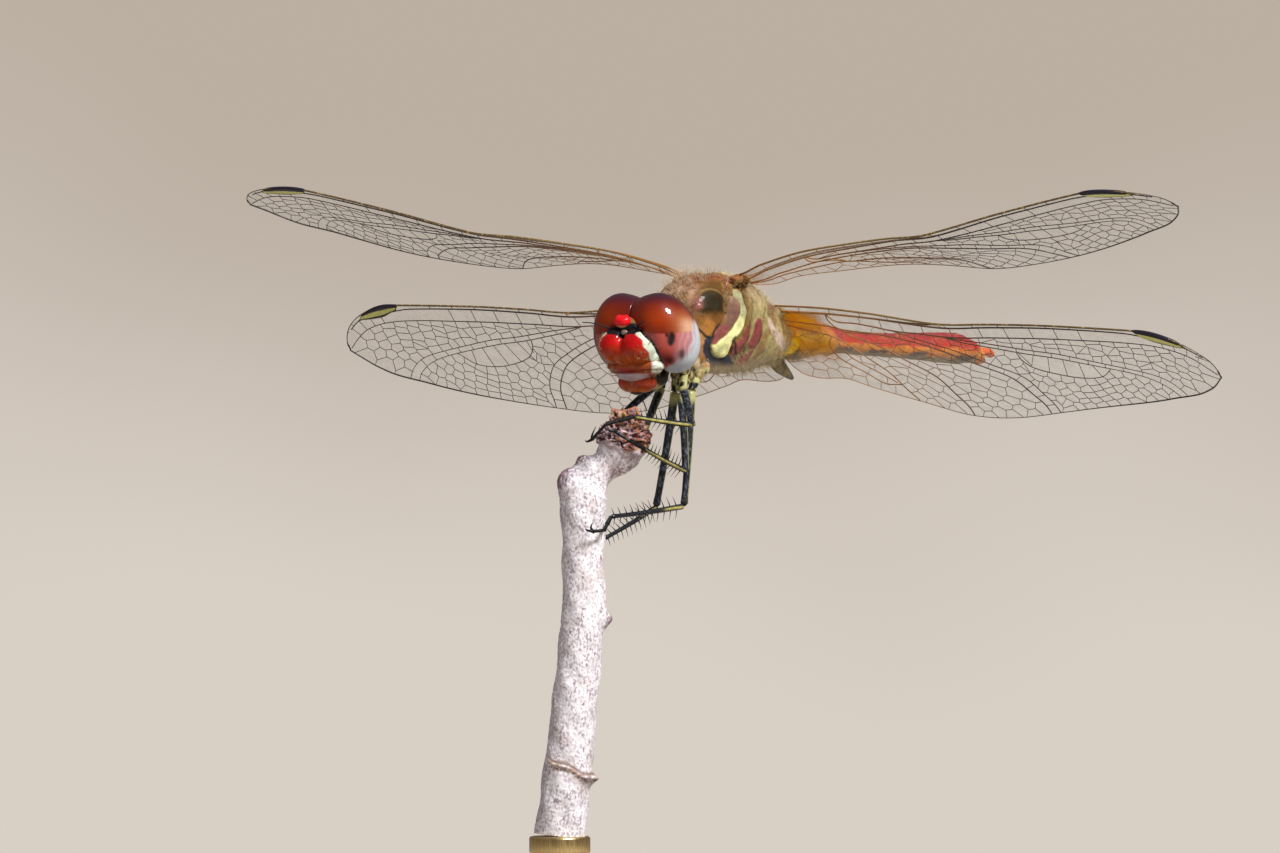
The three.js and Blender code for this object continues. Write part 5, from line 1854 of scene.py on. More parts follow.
class DRAGONFLY_OT_abdomen(bpy.types.Operator):
    """Makes the abdomen as one skin, and the claspers at its end"""

    bl_idname = "dragonfly.abdomen"
    bl_label = "Abdomen"

    def execute(self, context):
        shell = painted("Abdomen shell", 0.42, grain=2.4, depth=0.35, pores=9.0, strength=0.4)
        finish(abdomen(), shell, "abdomen_shell", *("abdomen_%d" % n for n in range(1, 11)))
        finish(clasper(1, "cercus_left_skin"), shell, "abdomen_shell", "cercus_left")
        finish(clasper(-1, "cercus_right_skin"), shell, "abdomen_shell", "cercus_right")
        finish(lower_clasper(), shell, "abdomen_shell", "epiproct")
        finish(lobe(), shell, "abdomen_shell", "genital_lobe")
        return {"FINISHED"}


# ------------------------------------------------------------------ legs

# Half thickness of a thigh, shin and foot at their ends.
THIGH = {"front": (0.25, 0.19), "middle": (0.24, 0.18), "hind": (0.25, 0.18)}
SHIN = {"front": (0.16, 0.11), "middle": (0.15, 0.11), "hind": (0.16, 0.11)}
FOOT = (0.13, 0.1)
# How far apart a foot's two claws end, how far before its tip and how far below it.
CLAW_SPREAD = 0.34
CLAW_REACH = 0.42
CLAW_DROP = 0.22
LIMB_STEPS = 44
LIMB_SIDES = 20
# What faces forward and a little up on a thigh, for its markings.
FORWARD = np.array([0.25, -0.75, 0.62])
# The ends of the claws of two feet that stand clear of the twig.
CLAWS = {
    "front_left": [(-1.27, -10.52, -9.22), (-0.67, -10.36, -8.46)],
    "hind_left": [(-0.85, -11.07, -14.12), (-0.54, -10.74, -13.73)],
}
YELLOW = (0.38, 0.33, 0.09)
# Where the shin's yellow stripe ends, as a share of its length.
STRIPE_END = {"front": 1.0, "middle": 0.95, "hind": 0.25}
# The spines of a shin spread square to this line.
SPREAD_LINE = (0.56, -0.83, 0.0)


def ring_frame(path):
    """Two directions square to a path at each of its points."""
    along = unit(np.gradient(path, axis=0))
    guide = np.array([0.3, 0.2, 1.0]) if abs(along[0][2]) < 0.8 else np.array([1.0, 0.2, 0.0])
    left = unit(np.cross(along, guide))
    return left, np.cross(left, along)


def limb(name, start, end, thick, bow=0.0, flare=0.0):
    """A leg joint's closed skin: ribbed lengthwise, thicker at the knee end where flared."""
    share = np.linspace(0, 1, LIMB_STEPS)[:, None]
    path = np.array(start, float) * (1 - share) + np.array(end, float) * share
    left, over = ring_frame(path)
    path = path + over * np.sin(share * math.pi) * bow
    run = share[:, 0]
    size = thick[0] + (thick[1] - thick[0]) * run + flare * bell(run, 0.97, 0.05)
    # The last 4% at each end are rounded.
    size = size * np.clip(np.sqrt(1 - np.clip((np.abs(run - 0.5) * 2 - 0.96) / 0.04, 0, 1) ** 2), 0.35, 1)
    turn = np.linspace(0, 2 * math.pi, LIMB_SIDES, endpoint=False)
    ribs = 1 + 0.07 * np.cos(4 * turn)
    return loft(name, path[:, None] + ways_round(left, over, turn) * (size[:, None] * ribs)[..., None])


def spine_row(start, end, side_way, count, long, first=0.1, last=0.95, thick=0.042):
    """A row of thin black spines along a leg, leaning towards its end."""
    bundle = Bundle()
    start, end = np.array(start, float), np.array(end, float)
    along = unit(end - start)
    side_way = unit(side_way - along * np.dot(side_way, along))
    for k in range(count):
        share = first + (last - first) * k / max(1, count - 1)
        foot = start + (end - start) * share
        reach = long * (0.75 + 0.25 * math.sin(math.pi * min(1.0, share + 0.2)))
        way = side_way * 0.9 + along * 0.38
        steps = np.linspace(0, 1, 4)[:, None]
        path = foot + way * reach * steps + along * (0.12 * reach) * steps**2
        bundle.tube(path, thick * (1 - 0.85 * steps[:, 0]), np.cross(along, side_way) + along * 0.01, 5)
    row = bundle.piece("spines")
    Paint(row, BLACK).keep()
    return row


def leg_colour(piece, kind, part, start, end):
    """Black with a yellow stripe where the species has one, and a painted blue-grey sheen on the thighs."""
    paint = Paint(piece, (0.01, 0.011, 0.014))
    start, end = np.array(start), np.array(end)
    along = end - start
    share = ((paint.place - start) @ along) / (along @ along)
    off = paint.place - start - share[:, None] * along
    off /= np.maximum(np.linalg.norm(off, axis=1)[:, None], 1e-6)
    forward = off @ FORWARD
    outer = off @ SIGHT_RIGHT
    if part == "femur":
        cloud = lumps(paint.place, 0.14, 70.0)
        # Painted sheen: blue-grey mottles on the black thighs, fainter where the surface faces along FORWARD
        # or the opposite way.
        paint.coat(ramp(0.0, 0.26, cloud - 0.12 * np.abs(forward)) * 0.75, (0.09, 0.105, 0.14))
        paint.coat(ramp(0.12, 0.03, share - 0.05 * forward) * 0.9, (0.4, 0.38, 0.16))
        paint.coat(ramp(0.84, 0.95, outer) * ramp(1.02, 0.96, share) * 0.9, (0.45, 0.42, 0.14))
    if part == "tibia":
        ending = STRIPE_END[kind]
        square = unit(np.cross(along, SPREAD_LINE))
        facing = off @ np.cross(square, unit(along))
        lower = off @ square * (1 if square[2] < 0 else -1)
        band = ramp(0.88, 0.98, np.abs(facing) + 0.3 * lower)
        band = band * ramp(ending + 0.1, ending - 0.1, share)
        paint.coat(band * (0.9 + 0.6 * lumps(paint.place, 0.2, 22.0)), YELLOW)
    paint.keep()


def foot_parts(name, ankle, middle, tip, claws):
    """Three toe joints and two hooked claws."""
    parts = []
    ankle, middle, tip = (np.array(p, float) for p in (ankle, middle, tip))
    near = ankle + (middle - ankle) * 0.55
    for k, (a, b) in enumerate(((ankle, near), (near, middle), (middle, tip))):
        thick = FOOT[0] + (FOOT[1] - FOOT[0]) * k / 2
        parts.append(limb(name, a, b, (thick * 0.8, thick), flare=0.02))
    way = unit(tip - middle)
    side = unit(np.cross(way, (0, 0, 1.0)))
    down = np.cross(side, way)
    if not claws:
        forth = tip + way * CLAW_REACH - down * CLAW_DROP
        claws = [forth + side * turn * CLAW_SPREAD / 2 for turn in (-1, 1)]
    for claw in claws:
        steps = np.linspace(0, 1, 10)[:, None]
        bend = way * 0.16 * np.sin(steps * math.pi)
        hook = tip * (1 - steps) + np.array(claw) * steps + bend
        parts.append(tube(name, hook, 0.095 * (1 - 0.85 * steps[:, 0]), 8))
    return parts


def leg(name, path, kind, claws):
    """One leg as three pieces: thigh, shin with its spines, foot with its claws."""
    hip, joint, knee, ankle, middle, tip = path
    thigh = limb(name + "_femur_shell", joint, knee, THIGH[kind], bow=0.05, flare=0.03)
    leg_colour(thigh, kind, "femur", joint, knee)
    start = Vector(hip).lerp(Vector(joint), 0.55)
    trochanter = limb("trochanter", start, joint, (0.25, 0.22), flare=0.03)
    paint = Paint(trochanter, (0.42, 0.4, 0.17))
    paint.coat(ramp(-0.1, 0.1, lumps(paint.place, 0.4, 80.0)), BLACK)
    paint.keep()
    row = spine_row(joint, knee, np.array([0.0, -1.0, -0.25]), 14, 0.24, 0.15, 0.96, 0.018)
    femur = join(name + "_femur_shell", [thigh, trochanter, row])
    shin = limb(name + "_tibia_shell", knee, ankle, SHIN[kind], bow=-0.05, flare=0.02)
    leg_colour(shin, kind, "tibia", knee, ankle)
    # The spines of the legs behind the twig stay hidden behind it.
    long = sizes().spine * (0.4 if name in ("leg_front_right", "leg_middle_right") else 1)
    forth = 0.35 * np.array(SPREAD_LINE)
    spread = unit(np.cross(np.array(ankle) - np.array(knee), SPREAD_LINE))
    rows = [spine_row(knee, ankle, way, 11, long) for way in (spread + forth, forth - spread)]
    tibia = join(name + "_tibia_shell", [shin, *rows])
    foot = foot_parts(name, ankle, middle, tip, claws)
    for part in foot:
        Paint(part, BLACK).keep()
    for a, b, count, long in ((ankle, middle, 7, 0.16), (middle, tip, 5, 0.14)):
        foot.append(spine_row(a, b, np.array([0.1, 0.1, -1.0]), count, long))
    tarsus = join(name + "_tarsus_shell", foot)
    return femur, tibia, tarsus


class DRAGONFLY_OT_legs(bpy.types.Operator):
    """Makes the six legs with their spines and claws"""

    bl_idname = "dragonfly.legs"
    bl_label = "Legs"

    def execute(self, context):
        shell = painted(
            "Leg shell", 0.3, grain=3.0, depth=0.2, pores=9.0, strength=0.6, Specular_IOR_Level=0.15,
            Coat_Weight=0.2,
        )
        for key, path in LEGS.items():
            kind = key.split("_")[0]
            node = "leg_" + key
            pieces = leg(node, path, kind, CLAWS.get(key, []))
            for piece, part in zip(pieces, ("femur", "tibia", "tarsus")):
                finish(piece, shell, "leg_shell", node + "_" + part)
        return {"FINISHED"}


# ------------------------------------------------------------------ twig and stand

TWIG_LINE = [
    (-0.09, -8.51, -7.58), (-0.04, -8.48, -8.24), (-0.14, -8.54, -9.13), (-0.39, -8.71, -10.02),
    (-0.9, -9.05, -10.74), (-1.45, -9.43, -11.46), (-1.81, -9.68, -12.19), (-1.93, -9.75, -13.24),
    (-1.96, -9.76, -15.35), (-1.94, -9.74, -18.68), (-2.24, -9.93, -22.57), (-2.55, -10.13, -26.18),
    (-3.04, -10.44, -31.2),
]
TWIG_HALF = [
    (0, 0.55), (0.027, 1.05), (0.064, 1.42), (0.1, 1.22), (0.14, 0.98), (0.18, 0.98), (0.215, 1.25),
    (0.26, 1.28), (0.345, 1.15), (0.48, 1.2), (0.64, 1.24), (0.79, 1.3), (1, 1.42),
]
# Buds and stubs on the twig: share of its length, bearing, height, reach along and reach round it.
TWIG_KNOBS = [
    (0.205, 214, 0.55, 0.024, 40), (0.165, 214, 0.5, 0.017, 42), (0.05, 34, 0.22, 0.02, 36),
    (0.155, 34, -0.3, 0.028, 60), (0.5, 34, 0.42, 0.016, 32), (0.862, 25, 0.4, 0.014, 42),
]
# The bearing of the side that is seen, and the shares of the length where the torn end stops and
# where a leaf's scar crosses the twig.
NEAR_SIDE = 34
CAP_END = 0.085
SCAR = 0.845
SCAR_SIDE = 345
TWIG_STEPS = 520
TWIG_SIDES = 150


def turned(a, b):
    """The gap in degrees between two bearings."""
    return (a - b + 180) % 360 - 180


def scar(share, degrees, reach):
    """A leaf's scar: a ridge that slants half way round the twig, as a share of its height."""
    way = turned(degrees, NEAR_SIDE)
    line = SCAR + 0.016 * np.cos(np.radians(way)) + 0.003 * np.sin(np.radians(5 * way))
    return bell(share, line, reach) * ramp(-0.35, 0.15, np.cos(np.radians(degrees - SCAR_SIDE)))


def twig_radius(share, turn):
    """The twig's half thickness, with its buds and ripples."""
    degrees = np.degrees(turn)
    size = between(TWIG_HALF, share) + 0 * turn
    for at, way, height, reach, spread in TWIG_KNOBS:
        size = size + height * bell(share, at, reach) * bell(turned(degrees, way), 0, spread)
    size = size + 0.035 * np.sin(3 * turn + 40 * share) + 0.025 * np.sin(5 * turn - 63 * share)
    return size + 0.12 * scar(share, degrees, 0.005)


def twig():
    """The broken twig: bark with pores and flakes, and a torn end, with painted shade on the side turned
    from the light and in the torn end's cracks.
    """
    line = spline(TWIG_LINE, TWIG_STEPS)
    piece = tube("twig_bark", line, twig_radius, TWIG_SIDES)
    place = points(piece)
    run = run_along(line)
    share = np.append(np.repeat(run / run[-1], TWIG_SIDES), (0.0, 1.0))
    degrees = np.append(np.tile(np.arange(TWIG_SIDES) * 360 / TWIG_SIDES, TWIG_STEPS), (0.0, 0.0))
    edge = CAP_END + 0.012 * lumps(place, 0.7, 3.0)
    torn = ramp(0.006, -0.006, share - edge)
    fine = lumps(place, 0.13, 5.0)
    coarse = lumps(place, 0.42, 2.0)
    folds = np.abs(lumps(place * (1, 1, 2.4) + 0.3 * coarse[:, None], 0.42, 20.0))
    flakes = 0.28 - 0.6 * folds + 0.22 * lumps(place, 0.26, 24.0)
    lip = bell(share, edge + 0.01, 0.006)
    swell(piece, (0.02 * fine + 0.02 * coarse + 0.08 * lip) * (1 - torn) + (flakes - 0.2) * torn)
    paint = Paint(piece, colours().bark)
    paint.coat(ramp(-0.1, 0.4, coarse) * 0.25, (0.5, 0.43, 0.46))
    paint.coat(ramp(0.2, 0.5, lumps(place, 0.9, 40.0)) * 0.3, (0.4, 0.27, 0.22))
    # Painted shade: the twig's side at bearing 214, turned away from the light, is darkened to purple-grey.
    paint.coat(bell(turned(degrees, 214), 0, 50) * (0.6 + fine), (0.3, 0.25, 0.32))
    shoulder = bell(share, 0.125, 0.03) * bell(turned(degrees, 20), 0, 60)
    paint.coat(shoulder * (0.55 + 2 * fine), (0.27, 0.15, 0.16))
    paint.coat(lip * 0.7, (0.16, 0.05, 0.06))
    paint.coat(torn, (0.42, 0.15, 0.06))
    paint.coat(torn * ramp(-0.05, 0.25, lumps(place, 0.3, 50.0)), (0.58, 0.21, 0.06))
    paint.coat(torn * ramp(0.1, 0.3, lumps(place, 0.4, 57.0)) * 0.8, (0.36, 0.25, 0.08))
    across = place @ SIGHT_RIGHT + 1.2 * lumps(place, 0.5, 71.0)
    grey = ramp(-4.6, -5.3, across) * ramp(-8.1, -8.7, place[:, 2])
    paint.coat(torn * grey, (0.62, 0.46, 0.46))
    # Painted shade: the torn end's recessed cracks, where the folds push the surface in, are darkened to
    # near-black maroon.
    paint.coat(torn * ramp(0.12, 0.26, folds), (0.06, 0.012, 0.016))
    paint.coat(torn * ramp(0.1, 0.25, lumps(place, 0.14, 60.0)) * 0.6, (0.13, 0.02, 0.035))
    for at, way, high, reach, spread in TWIG_KNOBS:
        if high < 0 or at > SCAR:
            continue
        near = bell(share, at, 1.1 * reach) * bell(turned(degrees, way), 0, 0.9 * spread)
        paint.coat(ramp(0.3, 0.75, near + 0.6 * fine) * 0.9, (0.1, 0.022, 0.03))
        paint.coat(ramp(0.88, 1.0, near) * (0.6 + 2 * fine), (0.55, 0.42, 0.44))
    paint.coat(scar(share, degrees, 0.014) * ramp(-0.3, 0.2, fine), (0.4, 0.24, 0.13))
    paint.coat(scar(share + 0.007, degrees, 0.004) * 0.9, (0.12, 0.07, 0.04))
    paint.coat(scar(share - 0.008, degrees, 0.003) * ramp(-0.2, 0.2, fine), (0.1, 0.05, 0.03))
    paint.keep()
    return piece


def plain_cylinder(name, low, high, radius, segments, bevel):
    """An upright cylinder with rounded edges, between two heights over the row's origin."""
    bpy.ops.object.select_all(action="DESELECT")
    bpy.ops.mesh.primitive_cylinder_add(
        vertices=segments, radius=radius, depth=high - low, location=(0, 0, (low + high) / 2)
    )
    piece = bpy.context.object
    piece.name = name
    bpy.ops.object.transform_apply(location=True, rotation=True, scale=True)
    apply_modifier(piece, "BEVEL", width=bevel, segments=4, limit_method="ANGLE")
    only(piece)
    bpy.ops.object.shade_smooth_by_angle(angle=math.radians(40))
    return piece


def bark_material():
    """Bark with fine dark specks, stretched a little along the twig."""
    made = Finish("Bark", Roughness=0.62, Specular_IOR_Level=0.25)
    coloured, grain = made.mottled(made.own(), 2.4, 0.3)
    long = made.stretched(1.0, 1.0, 0.7)
    where = made.step(made.noise(long, 1.1, detail=2.0), 0.34, 0.6, 0.5, 1.0)
    fine = made.times(made.step(made.noise(long, 7.5, detail=1.0), 0.5, 0.62), where)
    tint = made.mix(made.times(fine, 0.8), coloured, (0.3, 0.235, 0.275))
    blots = made.step(made.noise(long, 3.2, detail=3.0), 0.63, 0.7, 0.0, 0.75)
    tint = made.mix(blots, tint, (0.16, 0.1, 0.12))
    made.bump(grain, 0.4, 0.00005)
    return made.paint(tint)


class DRAGONFLY_OT_twig(bpy.types.Operator):
    """Makes the twig that the animal holds"""

    bl_idname = "dragonfly.twig"
    bl_label = "Twig"

    def execute(self, context):
        finish(twig(), bark_material(), "bark", "twig")
        return {"FINISHED"}


def wood_material():
    """Dark polished walnut with its grain along X."""
    made = Finish("Walnut", Roughness=0.32, Coat_Weight=0.3, Coat_Roughness=0.15)
    along = made.stretched(0.02, 0.16, 0.16)
    rings = made.noise(along, 3.2, detail=6.0, roughness=0.6, distortion=1.2)
    pores = made.noise(made.stretched(0.15, 2.2, 2.2), 2.0, detail=3.0)
    tint = made.mix(made.step(rings, 0.35, 0.65), tuple(colours().walnut), (0.12, 0.058, 0.027))
    tint = made.mix(made.step(pores, 0.55, 0.75, 0.0, 0.6), tint, (0.02, 0.01, 0.006))
    made.bump(pores, 0.2, 0.0001)
    return made.paint(tint)


def metal_material():
    """Brushed brass."""
    made = Finish("Brass", Metallic=1.0)
    fine = made.noise(made.stretched(9.0, 9.0, 0.4), 2.0, detail=2.0)
    made.set(made.shader.inputs["Roughness"], made.step(fine, 0.2, 0.8, 0.2, 0.36))
    return made.paint(made.mix(made.step(fine, 0.3, 0.7), (0.62, 0.44, 0.19), (0.7, 0.52, 0.25)))


class DRAGONFLY_OT_stand(bpy.types.Operator):
    """Makes the plain display stand: a round base, a rod and the cup that holds the twig"""

    bl_idname = "dragonfly.stand"
    bl_label = "Stand"

    def execute(self, context):
        wood, metal = wood_material(), metal_material()
        low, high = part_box("stand_base")
        base = plain_cylinder("stand_base_disc", low.z, high.z, (high.x - low.x) / 2, 128, 0.8 * MM)
        dress(base, wood, "stand_wood", "stand_base")
        low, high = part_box("stand_rod")
        cup_height = MM
        post = plain_cylinder("rod", low.z, high.z - cup_height / 2, 0.8 * MM, 48, 0.1 * MM)
        cup = plain_cylinder("cup", high.z - cup_height, high.z, (high.x - low.x) / 2, 64, 0.15 * MM)
        dress(join("stand_rod_and_cup", [post, cup]), metal, "stand_metal", "stand_rod")
        return {"FINISHED"}


# ------------------------------------------------------------------ hair

HAIRS_IN_TUFT = 4
HAIR_STEPS = 4
HAIR_SIDES = 3
# How far the strands of a tuft stray from one way, how deep and how far apart their roots are, and
# how much they bend and curl.
STRAY = 0.32
ROOT_DEPTH = 0.03
ROOT_SPREAD = 0.03
BEND = 0.35
CURL = 0.06
# How much thinner and paler a hair's tip is than its root.
HAIR_TAPER = 0.88
TIP_PALER = 0.35
# How wide each tuft's own patch is on the coat's map.
TUFT_PATCH = 0.003


def scattered(piece, count, weight, rng):
    """Root places on a skin with the way they face, more of them where the weight is larger."""
    piece.data.calc_loop_triangles()
    corners = np.array([triangle.vertices[:] for triangle in piece.data.loop_triangles])
    place = points(piece)
    a, b, c = (place[corners[:, k]] for k in range(3))
    facing = np.cross(b - a, c - a)
    area = np.linalg.norm(facing, axis=1)
    normal = facing / np.maximum(area, TINY)[:, None]
    chance = area * weight((a + b + c) / 3)
    picked = rng.choice(len(corners), count, p=chance / chance.sum())
    mix = rng.dirichlet((1, 1, 1), count)
    root = a[picked] * mix[:, :1] + b[picked] * mix[:, 1:2] + c[picked] * mix[:, 2:]
    return root, normal[picked]


def coat(name, skin, count, seed, weight, long, lean, tint):
    """Tufts of curved, tapered hairs over a skin. How likely, long, leaning and coloured they are
    comes from functions of the roots' places."""
    rng = np.random.default_rng(seed)
    root, normal = scattered(skin, count, weight, rng)
    reach = np.broadcast_to(long(root), count)
    lie, shade = (np.broadcast_to(value(root), (count, 3)) for value in (lean, tint))
    lowest, highest = root[:, 1].min(), root[:, 1].max()
    middle = root[:, 2].mean()
    verts, faces, paint, patch_place = [], [], [], []
    for k in range(count):
        u = 0.5 + 0.48 * math.atan2(root[k, 0], root[k, 2] - middle) / math.pi
        v = 0.02 + 0.95 * (root[k, 1] - lowest) / (highest - lowest)
        for strand in range(HAIRS_IN_TUFT):
            way = unit(normal[k] + lie[k] + rng.normal(0, STRAY, 3))
            side = unit(np.cross(way, (0.31, 0.52, 0.8)))
            other = np.cross(way, side)
            start = root[k] - normal[k] * ROOT_DEPTH
            start += (side * rng.normal() + other * rng.normal()) * ROOT_SPREAD
            tall = reach[k] * rng.uniform(0.6, 1.1)
            bend = lie[k] * BEND * tall + rng.normal(0, CURL, 3) * tall
            first = len(verts)
            for step in range(HAIR_STEPS + 1):
                share = step / HAIR_STEPS
                at = start + way * tall * share + bend * share * share
                thick = sizes().hair_thickness * (1 - HAIR_TAPER * share)
                for corner in range(HAIR_SIDES):
                    turn = corner * 2 * math.pi / HAIR_SIDES
                    verts.append(at + (side * math.cos(turn) + other * math.sin(turn)) * thick)
                    paint.append(shade[k] * (0.75 + TIP_PALER * share))
                    along = strand + corner / HAIR_SIDES
                    patch_place.append((u + TUFT_PATCH * along / HAIRS_IN_TUFT, v + TUFT_PATCH * share))
            end = first + HAIR_STEPS * HAIR_SIDES
            faces += [tuple(first + i for i in face) for face in ring_faces(HAIR_STEPS + 1, HAIR_SIDES)]
            faces += [(first + 2, first + 1, first), (end, end + 1, end + 2)]
    piece = outward(new_piece(name, verts, faces))
    own = Paint(piece, BLACK)
    own.colour = np.array(paint)
    own.keep()
    layer = piece.data.uv_layers.new(name="OFBake")
    loops = np.empty(len(piece.data.loops), np.int32)
    piece.data.loops.foreach_get("vertex_index", loops)
    layer.data.foreach_set("uv", np.array(patch_place, np.float32)[loops].ravel())
    return piece


HAIR_PALE = (0.52, 0.38, 0.25)
HAIR_GOLD = (0.6, 0.52, 0.27)
# The plates of the trunk that have hardly any hair.
BARE = (STRIPE, MAUVE_UPPER, MAUVE_LOWER, DISC, ORANGE, SLATE_LOW, MAROON_FRONT, MAROON_REAR)


def trunk_coat(skin):
    """Long pale hairs on the front of the trunk, short ones elsewhere."""
    def front(p):
        return ramp(0.2, -1.6, p[:, 1]) * ramp(-3.1, -1.6, p[:, 2])

    def belly(p):
        return ramp(-4.2, -4.8, p[:, 2])

    def rear(p):
        return ramp(0.5, 3, p[:, 1])

    def weight(p):
        bare = 1 - 0.98 * strongest(patch, BARE, p[:, 1:], 0.15) * ramp(1.0, 1.3, np.abs(p[:, 0]))
        joined = ramp(-4.2, -3.9, p[:, 1])
        return (0.3 + 1.2 * front(p) + 0.35 * belly(p) + 0.6 * rear(p)) * bare * joined

    def long(p):
        return sizes().hair * (0.24 + 0.5 * front(p) + 0.08 * belly(p) + 0.1 * rear(p))

    def lean(p):
        return np.stack([0 * front(p), 0.6 - 0.9 * front(p), 0.35 * front(p) - 0.5 * belly(p)], axis=1)

    def tint(p):
        share = np.clip(0.15 + front(p), 0, 1)[:, None]
        return np.array(HAIR_GOLD) * (1 - share) + np.array(HAIR_PALE) * share

    return coat("trunk_hair", skin, 860, sizes().seed, weight, long, lean, tint)


def face_coat(skin, name, seed):
    """Sparse short hairs on the face."""
    return coat(
        name, skin, 60, seed,
        lambda p: ramp(0.8, 1.3, np.abs(p[:, 0])) * ramp(-6.6, -7.2, p[:, 1]) + 0.02,
        lambda p: 0.2, lambda p: (0.0, -0.2, -0.35), lambda p: (0.4, 0.28, 0.16),
    )


def abdomen_coat(skin):
    """Fine fuzz on the first segments and along the underside."""
    return coat(
        "abdomen_hair", skin, 340, sizes().seed + 2,
        lambda p: ramp(12.0, 7.5, p[:, 1]) + 0.12,
        lambda p: 0.22 + 0.25 * ramp(10.0, 7.0, p[:, 1]),
        lambda p: (0.0, 0.9, 0.0), lambda p: (0.62, 0.38, 0.06),
    )


class DRAGONFLY_OT_hair(bpy.types.Operator):
    """Grows the tufts of hair on the trunk, face and abdomen"""

    bl_idname = "dragonfly.hair"
    bl_label = "Hair"

    def execute(self, context):
        fine = Finish("Hair", Roughness=0.45)
        fine.paint(fine.own())
        back = Matrix.Scale(1 / MM, 4) @ Matrix.Translation(-HINGES)
        for grow, skin_name, slot in (
            (trunk_coat, "trunk_skin", "thorax_shell"), (abdomen_coat, "abdomen_skin", "abdomen_shell"),
            (lambda skin: face_coat(skin, "frons_hair", 41), "frons_shell", "face_shell"),
            (lambda skin: face_coat(skin, "clypeus_hair", 42), "clypeus_shell", "face_shell"),
        ):
            skin = context.scene.objects[skin_name]
            skin.data.transform(back)
            hair = grow(skin)
            skin.data.transform(back.inverted())
            finish(hair, fine.material, slot)
        return {"FINISHED"}


# ------------------------------------------------------------------ stage


FLOOR_RADIUS = 0.26
SENSOR_WIDTH = 36.0
# What the camera looks at, in millimetres from the hinges.
AIM = (-3.283, -2.214, -8.473)


def box_centre(node):
    """The middle of a node's box."""
    low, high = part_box(node)
    return (low + high) / 2


def world_light():
    """Pale surroundings, a little darker above the horizon than below it."""
    world = bpy.data.worlds.new("Studio")
    world.use_nodes = True
    bpy.context.scene.world = world
    sheet = Sheet(world.node_tree)
    background = world.node_tree.nodes["Background"]
    way = sheet.node("TexCoord").outputs["Generated"]
    height = sheet.node("SeparateXYZ", {0: way}).outputs["Z"]
    drift = sheet.noise(way, 14.0, detail=1.0)
    sway = sheet.times(sheet.math("SUBTRACT", drift, 0.5), 0.06)
    level = sheet.plus(height, sway)
    tint = sheet.mix(sheet.step(level, -0.035, 0.04), (0.69, 0.625, 0.56), (0.5, 0.43, 0.365))
    tint = sheet.mix(sheet.step(height, 0.06, 0.9), tint, (0.72, 0.7, 0.67))
    seen = sheet.node("LightPath").outputs["Is Camera Ray"]
    sheet.set(background.inputs["Color"], tint)
    # The surroundings look as bright as a studio wall, but light the animal less than the lamps do.
    sheet.set(background.inputs["Strength"], sheet.step(seen, 0.0, 1.0, 0.36, 1.0))


def floor_material():
    """A pale floor that fades into the surroundings."""
    material = bpy.data.materials.new("Floor")
    material.use_nodes = True
    sheet = Sheet(material.node_tree)
    shader = material.node_tree.nodes["Principled BSDF"]
    place = sheet.node("TexCoord").outputs["Object"]
    away = sheet.node("VectorMath", {0: place}, operation="LENGTH").outputs["Value"]
    shader.inputs["Base Color"].default_value = (0.6, 0.56, 0.5, 1.0)
    shader.inputs["Roughness"].default_value = 0.7
    sheet.set(shader.inputs["Alpha"], sheet.step(away, 0.08, 0.24, 1.0, 0.0))
    return material


# Each light's offset from the trunk to the right, away from the camera and up, its size, and the
# setting that holds its power.
LIGHTS = {
    "Key": ((0.17, -0.2, 0.26), 0.1, "key_power"),
    "Fill": ((-0.25, -0.3, 0.06), 0.3, "fill_power"),
    "Back": ((-0.1, 0.3, 0.2), 0.25, "fill_power"),
}


def area_light(name, place, target, size, power):
    """A soft round light that faces a point."""
    way = Vector(target) - Vector(place)
    turn = way.to_track_quat("-Z", "Y").to_euler()
    bpy.ops.object.light_add(type="AREA", location=place, rotation=turn)
    light = bpy.context.object
    light.name = name
    light.data.shape = "DISK"
    light.data.size = size
    light.data.energy = power
    light.visible_glossy = name == "Key"


class DRAGONFLY_OT_stage(bpy.types.Operator):
    """Sets up the camera, the lights and the pale floor"""

    bl_idname = "dragonfly.stage"
    bl_label = "Stage"

    def execute(self, context):
        stage = context.scene.dragonfly_stage
        bpy.ops.mesh.primitive_circle_add(vertices=96, radius=FLOOR_RADIUS, fill_type="NGON")
        floor = context.object
        floor.name = "floor"
        floor.data.materials.append(floor_material())
        aim = HINGES + Vector(AIM) * MM
        look = Vector((-math.sin(stage.azimuth), math.cos(stage.azimuth), 0.0))
        right = Vector((math.cos(stage.azimuth), math.sin(stage.azimuth), 0.0))
        bpy.ops.object.camera_add(
            location=aim - look * stage.distance, rotation=(math.pi / 2, 0.0, stage.azimuth)
        )
        camera = context.object
        camera.data.lens = stage.lens
        camera.data.sensor_width = SENSOR_WIDTH
        camera.data.clip_start = 0.01
        context.scene.camera = camera
        body = box_centre("thorax")
        for name, ((across, away, up), size, power) in LIGHTS.items():
            place = body + right * across + look * away + Vector((0.0, 0.0, up))
            area_light(name, place, body, size, getattr(stage, power))
        world_light()
        context.scene.view_settings.view_transform = "Standard"
        return {"FINISHED"}


# ------------------------------------------------------------------ panel and run

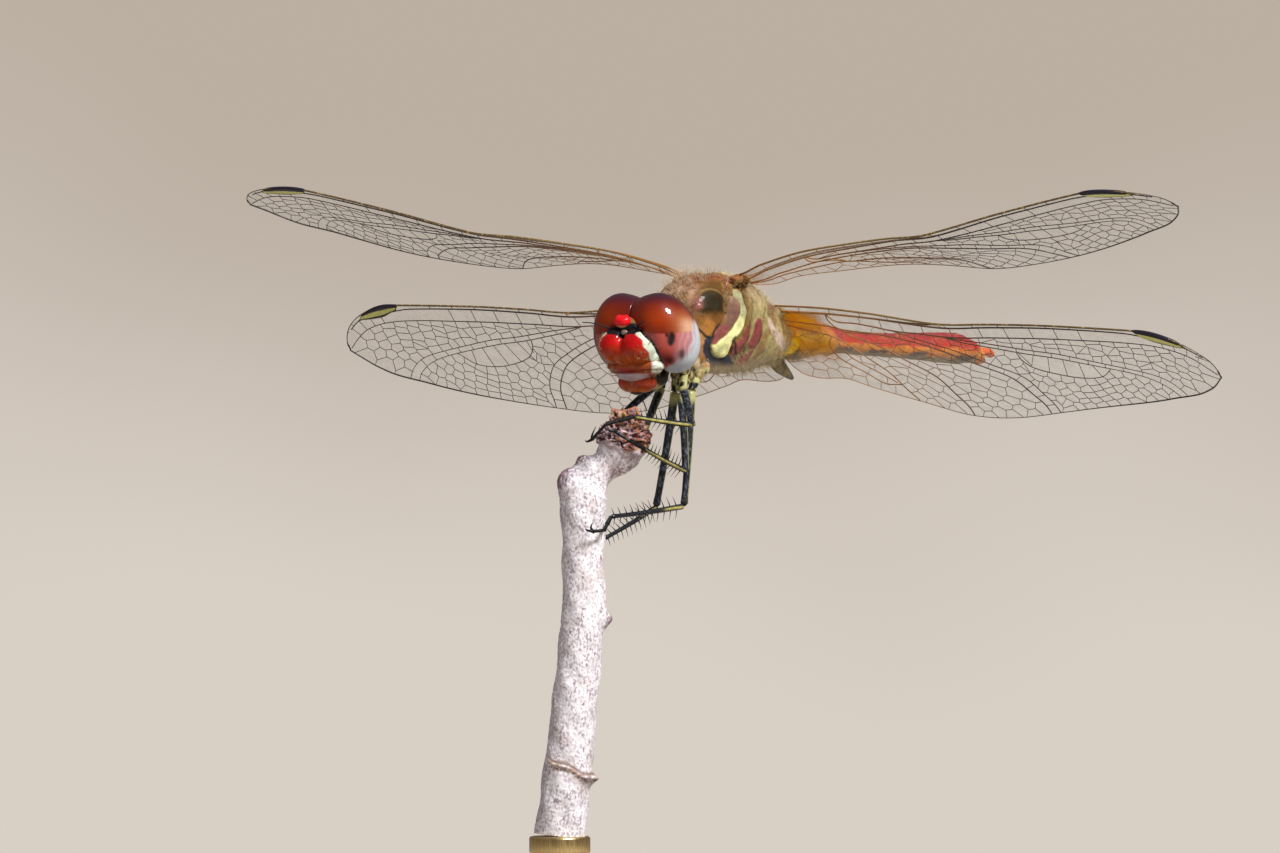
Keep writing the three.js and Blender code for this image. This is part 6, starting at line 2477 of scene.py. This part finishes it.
MAKERS = [
    DRAGONFLY_OT_wings, DRAGONFLY_OT_eyes, DRAGONFLY_OT_head, DRAGONFLY_OT_trunk,
    DRAGONFLY_OT_abdomen, DRAGONFLY_OT_legs, DRAGONFLY_OT_twig, DRAGONFLY_OT_stand,
    DRAGONFLY_OT_hair, DRAGONFLY_OT_stage,
]


class DRAGONFLY_PT_panel(bpy.types.Panel):
    """Lists the sizes, colours and makers"""

    bl_label = "Dragonfly"
    bl_idname = "DRAGONFLY_PT_panel"
    bl_space_type = "VIEW_3D"
    bl_region_type = "UI"
    bl_category = "Dragonfly"

    def draw(self, context):
        layout = self.layout
        for maker in MAKERS:
            layout.operator(maker.bl_idname)
        scene = context.scene
        for group in (scene.dragonfly_sizes, scene.dragonfly_colours, scene.dragonfly_stage):
            box = layout.box()
            for name in group.__annotations__:
                box.prop(group, name)


GROUPS = [DragonflySizes, DragonflyColours, DragonflyStage]


def register():
    """Adds the add-on to Blender."""
    for kind in [*GROUPS, *MAKERS, DRAGONFLY_PT_panel]:
        bpy.utils.register_class(kind)
    bpy.types.Scene.dragonfly_sizes = PointerProperty(type=DragonflySizes)
    bpy.types.Scene.dragonfly_colours = PointerProperty(type=DragonflyColours)
    bpy.types.Scene.dragonfly_stage = PointerProperty(type=DragonflyStage)


def unregister():
    """Takes the add-on out of Blender."""
    del bpy.types.Scene.dragonfly_stage
    del bpy.types.Scene.dragonfly_colours
    del bpy.types.Scene.dragonfly_sizes
    for kind in reversed([*GROUPS, *MAKERS, DRAGONFLY_PT_panel]):
        bpy.utils.unregister_class(kind)


def main():
    """Makes every piece in order."""
    register()
    bpy.ops.dragonfly.wings()
    bpy.ops.dragonfly.eyes()
    bpy.ops.dragonfly.head()
    bpy.ops.dragonfly.trunk()
    bpy.ops.dragonfly.abdomen()
    bpy.ops.dragonfly.legs()
    bpy.ops.dragonfly.twig()
    bpy.ops.dragonfly.stand()
    bpy.ops.dragonfly.hair()
    bpy.ops.dragonfly.stage()


if __name__ == "__main__":
    main()
